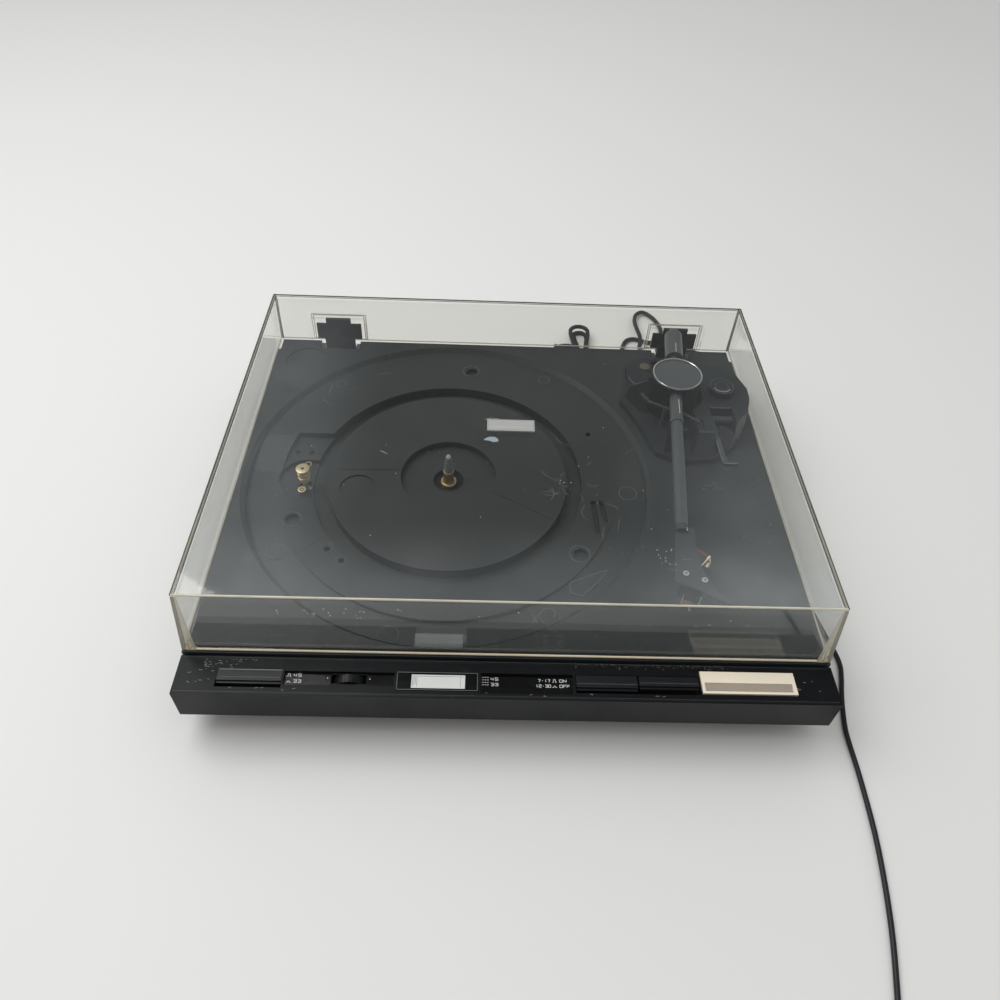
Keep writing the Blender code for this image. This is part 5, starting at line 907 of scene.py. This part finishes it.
def add_window_marks():
    """Uneven strokes on the strobe's pane, and a painted highlight round its window."""
    ticks = [spots(BAR_TOP, (-61.3 + 0.9 * k, -346.4 - 0.5 * (k % 2)),
                   (-61.5 + 0.9 * k, -353.2 + 0.9 * (k % 3))) for k in range(4)]
    ticks += [spots(BAR_TOP, (-31.2, -346.2), (-31.2, -353.3)),
              spots(BAR_TOP, (-61.6, -346), (-29.4, -346))]
    lines("pane_ticks", ticks, 0.34, 0.04, INK_AND_HIGHLIGHT_GREY)
    lines("window_edge_highlight", [closed(spots(WINDOW_TOP, (-71.2, -343.5), (-20.5, -343.5),
                                          (-20.5, -355.5), (-71.2, -355.5)))],
          0.3, 0.04, PALE_HIGHLIGHT)


def add_bar_edges():
    # Painted shadow lines at the bar's front and rear top edges, each with a painted highlight beside it
    for name, reach, y, width, thick, material in (
            ("bar_front_shadow_line", 208.5, -359.7, 0.9, 0.03, GROOVE_SHADE),
            ("bar_front_glint", 208.5, -358.9, 0.22, 0.04, GREY_HIGHLIGHT),
            ("bar_rear_glint", 208, -335.1, 0.25, 0.04, GREY_HIGHLIGHT),
            ("bar_rear_shadow_line", 208, -336.2, 0.5, 0.03, GROOVE_SHADE)):
        lines(name, [spots(BAR_TOP + CLEAR, (-reach, y), (reach, y))], width, thick, material)


def add_panel_wear():
    top = BAR_TOP + CLEAR
    draw = random.Random(11)
    scuffs = []
    for x, y, wide, deep, count in ((-184, -340, 12, 3.5, 26), (-170, -337.5, 10, 1.5, 8),
                                    (-196, -347, 8, 6, 8), (-150, -357, 30, 1.5, 5),
                                    (60, -357, 80, 1.2, 6), (190, -350, 10, 6, 5)):
        for _ in range(count):
            cx, cy = x + draw.uniform(-wide, wide), y + draw.uniform(-deep, deep)
            turn, size = draw.uniform(-0.7, 0.7), draw.uniform(0.5, 2.6)
            scuffs.append(spots(top, (cx, cy), (cx + size * math.cos(turn),
                                                cy + size * 0.5 * math.sin(turn))))
    lines("bar_scuffs", scuffs, 0.22, 0.02, INK_AND_HIGHLIGHT_GREY)
    dust = []
    for _ in range(130):
        cx, cy = draw.uniform(40, 140), -335.2 - abs(draw.gauss(0, 1.1))
        size = draw.uniform(0.2, 0.75)
        dust.append([spot(cx + size * math.cos(a) * draw.uniform(0.6, 1.6), cy + size * 0.6 * math.sin(a),
                          top) for a in (0.2, 1.3, 2.6, 3.9, 5.1)])
    plates("bar_dust", dust, 0.03, DUST_BROWN)


def add_well_marks():
    """Score lines, mould circles and a raised tab on the well's floors: painted shade in the lines,
    painted highlights on their lips, the circles and the tab's rim.
    """
    scores = [[in_well(*end, WELL_FLOOR) for end in ends] for ends in (
        ((-0.56, 0.022), (-0.234, 0.028)), ((0.214, -0.104), (0.505, -0.277)),
        ((0.199, 0.781), (0.2, 0.64)))]
    scores.append(spots(WELL_STEP, (-151.1, -245.2), (-134.6, -230.4)))
    lines("well_score_shade", scores, 0.9, 0.04, GROOVE_SHADE)
    forward = shift(0, -0.7)
    lines("well_lip_highlights", [[a + forward, b + forward] for a, b in scores], 0.3, 0.08, RAISED_HIGHLIGHT)
    circles = [(in_well(x, y, z), hoop(7, 0.8, 0.5, -0.15)) for x, y, z in (
        (-0.765, -0.475, -9.37), (-0.214, -0.894, -11.37), (0.474, -0.787, -10.86))]
    circles.append((in_well(0.889, -0.068, WELL_STEP), hoop(7, 0.8, 0.3)))
    circles += [(spot(x, y, z), hoop(*ring)) for x, y, z, ring in (
        (-145.9, -61.7, WELL_FLOOR, (4.6, 0.6, 0.25)), (33.4, -47.6, WELL_FLOOR, (5, 0.6, 0.25)),
        (-170.6, -141.5, WELL_STEP, (3.6, 0.5, 0.25)), (-159, -141.3, WELL_STEP, (3.6, 0.5, 0.25)),
        (-162.7, -214.7, WELL_STEP, (7.4, 0.9, 0.4)), (-32.2, -38.7, WELL_FLOOR, (7.2, 0.9, 0.4)),
        (-132.5, -240, WELL_STEP, (4.4, 0.35, 0.1)), (-120.4, -251.5, WELL_STEP, (4.4, 0.35, 0.1)))]
    circles.append((in_well(0.625, -0.455, WELL_STEP), hoop(7.6, 0.9, 0.4)))
    rings("mould_circle_highlights", circles, RAISED_HIGHLIGHT, "case", 32)
    tab = [in_well(x, y, z) for x, y, z in (
        (0.568, -0.611, -9.98), (0.571, -0.665, -10.1), (0.621, -0.682, -10.1), (0.704, -0.596, -9.9),
        (0.747, -0.536, -9.7), (0.683, -0.56, -9.75))]
    lines("raised_tab_edge_highlight", [closed(tab)], 0.9, 0.5, RAISED_HIGHLIGHT)
    plates("raised_tab", [tab], 0.3, DECK_PLASTIC)


def add_spindle_trim():
    sleeve = rings("spindle_sleeve", [(WELL, (
        (3.6, 0.9), (3.75, 1.3), (4.2, 1.3), (4.35, 1), (4.3, 0.5), (4.05, 0.2), (4.05, -9.6),
        (4.5, -10.3), (6, -10.6), (6.15, -10.9), (6.15, -12), (3.6, -12)))], BRASS, "spindle", 48)
    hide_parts("platter_seat")
    rings("spindle_rings", [(WELL, hoop(4, 0.5, 0.35, 1.15)), (WELL, hoop(5.6, 1.1, 0.8, -10.7))],
          BRASS_BRIGHT, "spindle")
    foot = above_deck(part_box("spindle_shaft")[0][2])
    pin = rings("spindle_pin", [(WELL, (
        (0.05, 18.1), (1.2, 18), (1.8, 17.3), (2.1, 16.4), (2.8, 12.4), (3.2, 9.6), (3.45, 7.2),
        (3.55, 5.4), (3.55, foot), (0.05, foot)))], STEEL, "spindle", 40)
    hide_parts("spindle_shaft")
    rings("spindle_tip", [(WELL, (
        (0.05, 18.35), (1.25, 18.25), (1.95, 17.5), (2.25, 16.3), (2.1, 16.2), (0.05, 17)))],
        CHROME, "spindle", 24)


def add_pulley_trim():
    pulley = spot(-158.35, -177.05)
    foot = above_deck(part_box("motor_pulley")[0][2])
    spool = rings("pulley_spool", [(pulley, (
        (0.9, 8), (1.3, 8.6), (4.7, 8.7), (5.3, 8.4), (5.3, 7.8), (4.5, 7.5), (2.6, 7.2), (2.4, 4.2),
        (4.5, 3.8), (4.8, 3.4), (4.7, 2.9), (4, 2.6), (3.9, 0.4), (4.6, 0.1), (4.8, -0.4), (4.6, -0.9),
        (2.4, -1.3), (2.1, -1.8), (2.1, -3.4), (3.4, -3.7), (3.7, -4.1), (3.4, -4.5), (2.1, -4.8),
        (2.1, foot), (0.9, foot)))], BRASS_BRIGHT, "pulley", 48)
    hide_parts("motor_pulley")
    # A disc of painted shade for the bore
    rings("pulley_bore_shade", [(pulley, button(1.2, 0.35, 8.02))], GROOVE_SHADE, "pulley", 20)
    rings("pulley_eyelet", [(spot(-154.6, -172.6), hoop(2.3, 0.8, 0.7, 8.3))], BRASS_BRIGHT, "pulley", 28)
    screw = spot(-159.8, -184.6)
    rings("motor_screw", [(screw, button(3, 0.6, -7.9)), (screw, hoop(1.5, 1.1, 1.2, -7.4))],
          BRASS_BRIGHT, "case", 28)
    # A ring of painted highlight on the screw's rim
    rings("motor_screw_rim_highlight", [(screw, hoop(2.75, 0.6, 0.4, -7.4))], CREAM_AND_HIGHLIGHT, "case", 28)


def add_plate_trim():
    low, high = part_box("name_plate")
    inset = 0.9 * MM
    left, right, fore, back = low[0] + inset, high[0] - inset, low[1] + inset, high[1] - inset
    border = closed([Vector((x, y, high[2] + CLEAR * MM)) for x, y in (
        (left, fore), (right, fore), (right, back), (left, back))])
    lines("plate_border", [border], 0.3, 0.04, INK_AND_HIGHLIGHT_GREY, "lid")


def add_pod_trim():
    rings("cap_trim", [(spot(*PIVOT), ((19.3, 40.2), (19.3, 40.75), (19.8, 41), (20.3, 40.8),
                                       (20.35, 39.9), (20.2, 39.6)))], CHROME, "arm_carrier", 72)
    knob = spot(*KNOB)
    # Raised rings on the knob's face, painted as highlights
    rings("knob_ring_highlights", [(knob, hoop(9.9, 0.6, 0.35, 25.3)), (knob, hoop(5.4, 0.5, 0.3, 25.45))],
          RAISED_HIGHLIGHT, "antiskate", 48)
    scale = [arc(spot(*KNOB, KNOB_FACE), 7.6, 205, 325, 18)]
    scale += [[knob + shift(math.cos(a) * r, math.sin(a) * r, KNOB_FACE) for r in (6.5, 7.6)]
              for a in (math.radians(205 + 20 * k) for k in range(7))]
    lines("knob_scale", scale, 0.3, 0.05, WHITE_INK, "antiskate")
    # Painted shade in the pointer's groove
    lines("knob_pointer", [spots(KNOB_FACE, (181, -76.4), (180.8, -79.4))], 0.7, 0.2, GROOVE_SHADE,
          "antiskate")
    rings("rear_pad", [(spot(124.5, -36.2, 5), button(4.8, 1.2))], TAN, "case", 36)
    lines("tube_index", [on_arm(35.2, (26, 1.1), (43, 1.6))], 0.5, 0.12, WHITE_INK, "arm")
    lines("weight_index", [on_arm(37.64, (-46.5, 0.3), (-34, 0.3))], 0.4, 0.12, WHITE_INK, "weight")
    # A flat plate of painted shade where the pod's pit lies in shadow
    plates("pod_pit_shadow", [spots(POD_LOW, (113.5, -61.5), (125, -55.5), (127, -70), (119.5, -86),
                             (121.5, -101), (112.5, -97), (107.5, -88), (102, -79.5),
                             (106.5, -66))], 0.03, PIT_SHADE)
    # Painted highlights on the pod's step edges
    lines("pod_edge_highlights", [spots(POD_LOW, (107.6, -50.4), (112.4, -61), (125.6, -54.6)),
                        spots(POD_HIGH, (153.6, -136.3), (165.2, -136)),
                        spots(POD_HIGH, (167.6, -106.6), (184.4, -106.2))], 0.45, 0.06, PALE_HIGHLIGHT)
    # Painted highlights on the cue lever's edges
    lines("lever_edge_highlights", [[spot(167.1, -142, 16.2), spot(167.1, -166, 17.2)],
                          spots(17.42, (167.2, -168.6), (178.4, -168.6))], 0.45, 0.1, PALE_HIGHLIGHT, "cue")
    # Painted shade along a groove in the pod's high tier
    lines("pod_arc_shade", [arc(spot(*KNOB, POD_HIGH), 15.6, 118, 176, 14)], 0.4, 0.08, GROOVE_SHADE)


def add_shell_trim():
    # Painted highlights: a line across the headshell and along its front and side edges
    lines("shell_line_highlight", [on_arm(SHELL_FACE, (187, -0.7), (187, 6.7))], 0.3, 0.04, PALE_HIGHLIGHT, "arm")
    for name, diameter, points in (
            ("red", 0.8, ((127.9, -276.9, 26.6), (131.6, -272.9, 27.2), (135.6, -268.6, 27.4))),
            ("red_end", 1.5, ((133.4, -270.9, 27.3), (134.6, -269.6, 27.4), (135.8, -268.3, 27.4))),
            ("white", 0.9, ((129.8, -279.3, 25.2), (131.9, -276.2, 25.4), (134.2, -272.7, 25.4))),
            ("white_end", 1.5, ((129.6, -279.6, 25.2), (130.4, -278.4, 25.2), (131.2, -277.2, 25.3)))):
        tube(f"lead_clip_{name}", [spot(*point) for point in points], diameter * MM, CREAM_AND_HIGHLIGHT, "arm")
    edge = on_arm(SHELL_FACE, (206, -5), (208.4, 2.7), (210.7, 10.5), (215.2, 19.6), (217.6, 25.4))
    lines("shell_front_edge_highlight", [edge], 0.35, 0.05, GREY_HIGHLIGHT, "arm")
    lines("shell_side_edge_highlight", [on_arm(SHELL_FACE, (168, -4.4), (205.8, -5))], 0.3, 0.05, GREY_HIGHLIGHT,
          "arm")
    for label, at in (("left", "cartridge_screw_left"), ("right", "cartridge_screw_right")):
        centre = Vector((*middle(at)[:2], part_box(at)[1][2]))
        rings(f"screw_face_{label}", [(centre, button(1.95, 0.2, 0.01))], SILVER, "arm", 24)
        rings(f"screw_rim_{label}", [(centre, hoop(2, 0.4, 0.3, -0.2))], CHROME, "arm", 24)
        # Painted shade in the screw heads' cross slots
        slots = [[centre + shift(x, y, 0.2), centre + shift(-x, -y, 0.2)]
                 for x, y in ((-1.3, 0.5), (0.5, 1.3))]
        lines(f"screw_slot_shade_{label}", slots, 0.4, 0.05, GROOVE_SHADE, "arm")
    front = Vector((-math.sin(ARM_LEAN), -math.cos(ARM_LEAN), 0))
    bars = [[foot, foot + shift(0, 0, 8.6)] for foot in on_arm(19, (213.6, 0.3), (213.6, 11.6))]
    lines("cartridge_bars", bars, 0.8, 0.25, SILVER, "arm", front)
    cantilever = [*on_arm(14.6, (209, 5.5)), *on_arm(13.9, (212.5, 6.2)), *on_arm(13.3, (215.5, 6.8))]
    tube("cantilever", cantilever, 0.7 * MM, SILVER, "arm")
    lines("rivet_face", [on_arm(33.6, (160.9, 3.2), (163.7, 3.2))], 1.1, 0.15, CHROME, "arm")


add_lid_edges()
add_lid_wear()
add_panel_marks()
add_key_marks()
add_window_marks()
add_bar_edges()
add_panel_wear()
add_well_marks()
add_spindle_trim()
add_pulley_trim()
add_plate_trim()
add_pod_trim()
add_shell_trim()


# Floor and light
def add_floor():
    mesh = bpy.data.meshes.new("floor")
    reach = 12.0
    mesh.from_pydata([(-reach, -reach, 0), (reach, -reach, 0), (reach, reach, 0), (-reach, reach, 0)],
                     [], [(0, 1, 2, 3)])
    floor = bpy.data.objects.new("floor", mesh)
    bpy.context.collection.objects.link(floor)
    mesh.materials.append(plain("floor_pale", shade(222, 222, 220), 0.55)[0])


def add_lamp():
    """One broad soft lamp, high at the left."""
    at, side, power = Vector((-0.9, 0.3, 1.6)), 1.2, 16.0
    data = bpy.data.lights.new("key", "AREA")
    data.shape = "RECTANGLE"
    data.size, data.size_y = side, side
    data.energy = power
    lamp = bpy.data.objects.new("key", data)
    lamp.location = at
    lamp.rotation_euler = (-at).to_track_quat("-Z", "Y").to_euler()
    bpy.context.collection.objects.link(lamp)


def add_world():
    """An even white room that mirrors darker than it lights, as the photographed one did."""
    world = bpy.data.worlds.new("room")
    world.use_nodes = True
    tree = world.node_tree
    light = tree.nodes["Background"]
    light.inputs["Color"].default_value = (1, 1, 1, 1)
    split = split_place(tree, "Generated")
    high = plus(times((split, "Z"), 0.75), times((split, "Y"), 0.55))
    strength = plus(times(span(high, -0.35, 0.75), 0.74), 0.14)
    link(*strength, light, "Strength")
    mirrored = lobe(tree, "ShaderNodeBackground", (0.93, 0.97, 0.98, 1), Strength=0.17)
    seen = lobe(tree, "ShaderNodeBackground", (0.70, 0.70, 0.69, 1))
    path = tree.nodes.new("ShaderNodeLightPath")
    either = blend((path, "Is Glossy Ray"), (light, 0), mirrored)
    last = blend((path, "Is Camera Ray"), either, seen)
    link(*last, tree.nodes["World Output"], "Surface")
    bpy.context.scene.world = world


add_floor()
add_world()
add_lamp()
bpy.context.scene.view_settings.view_transform = "Standard"
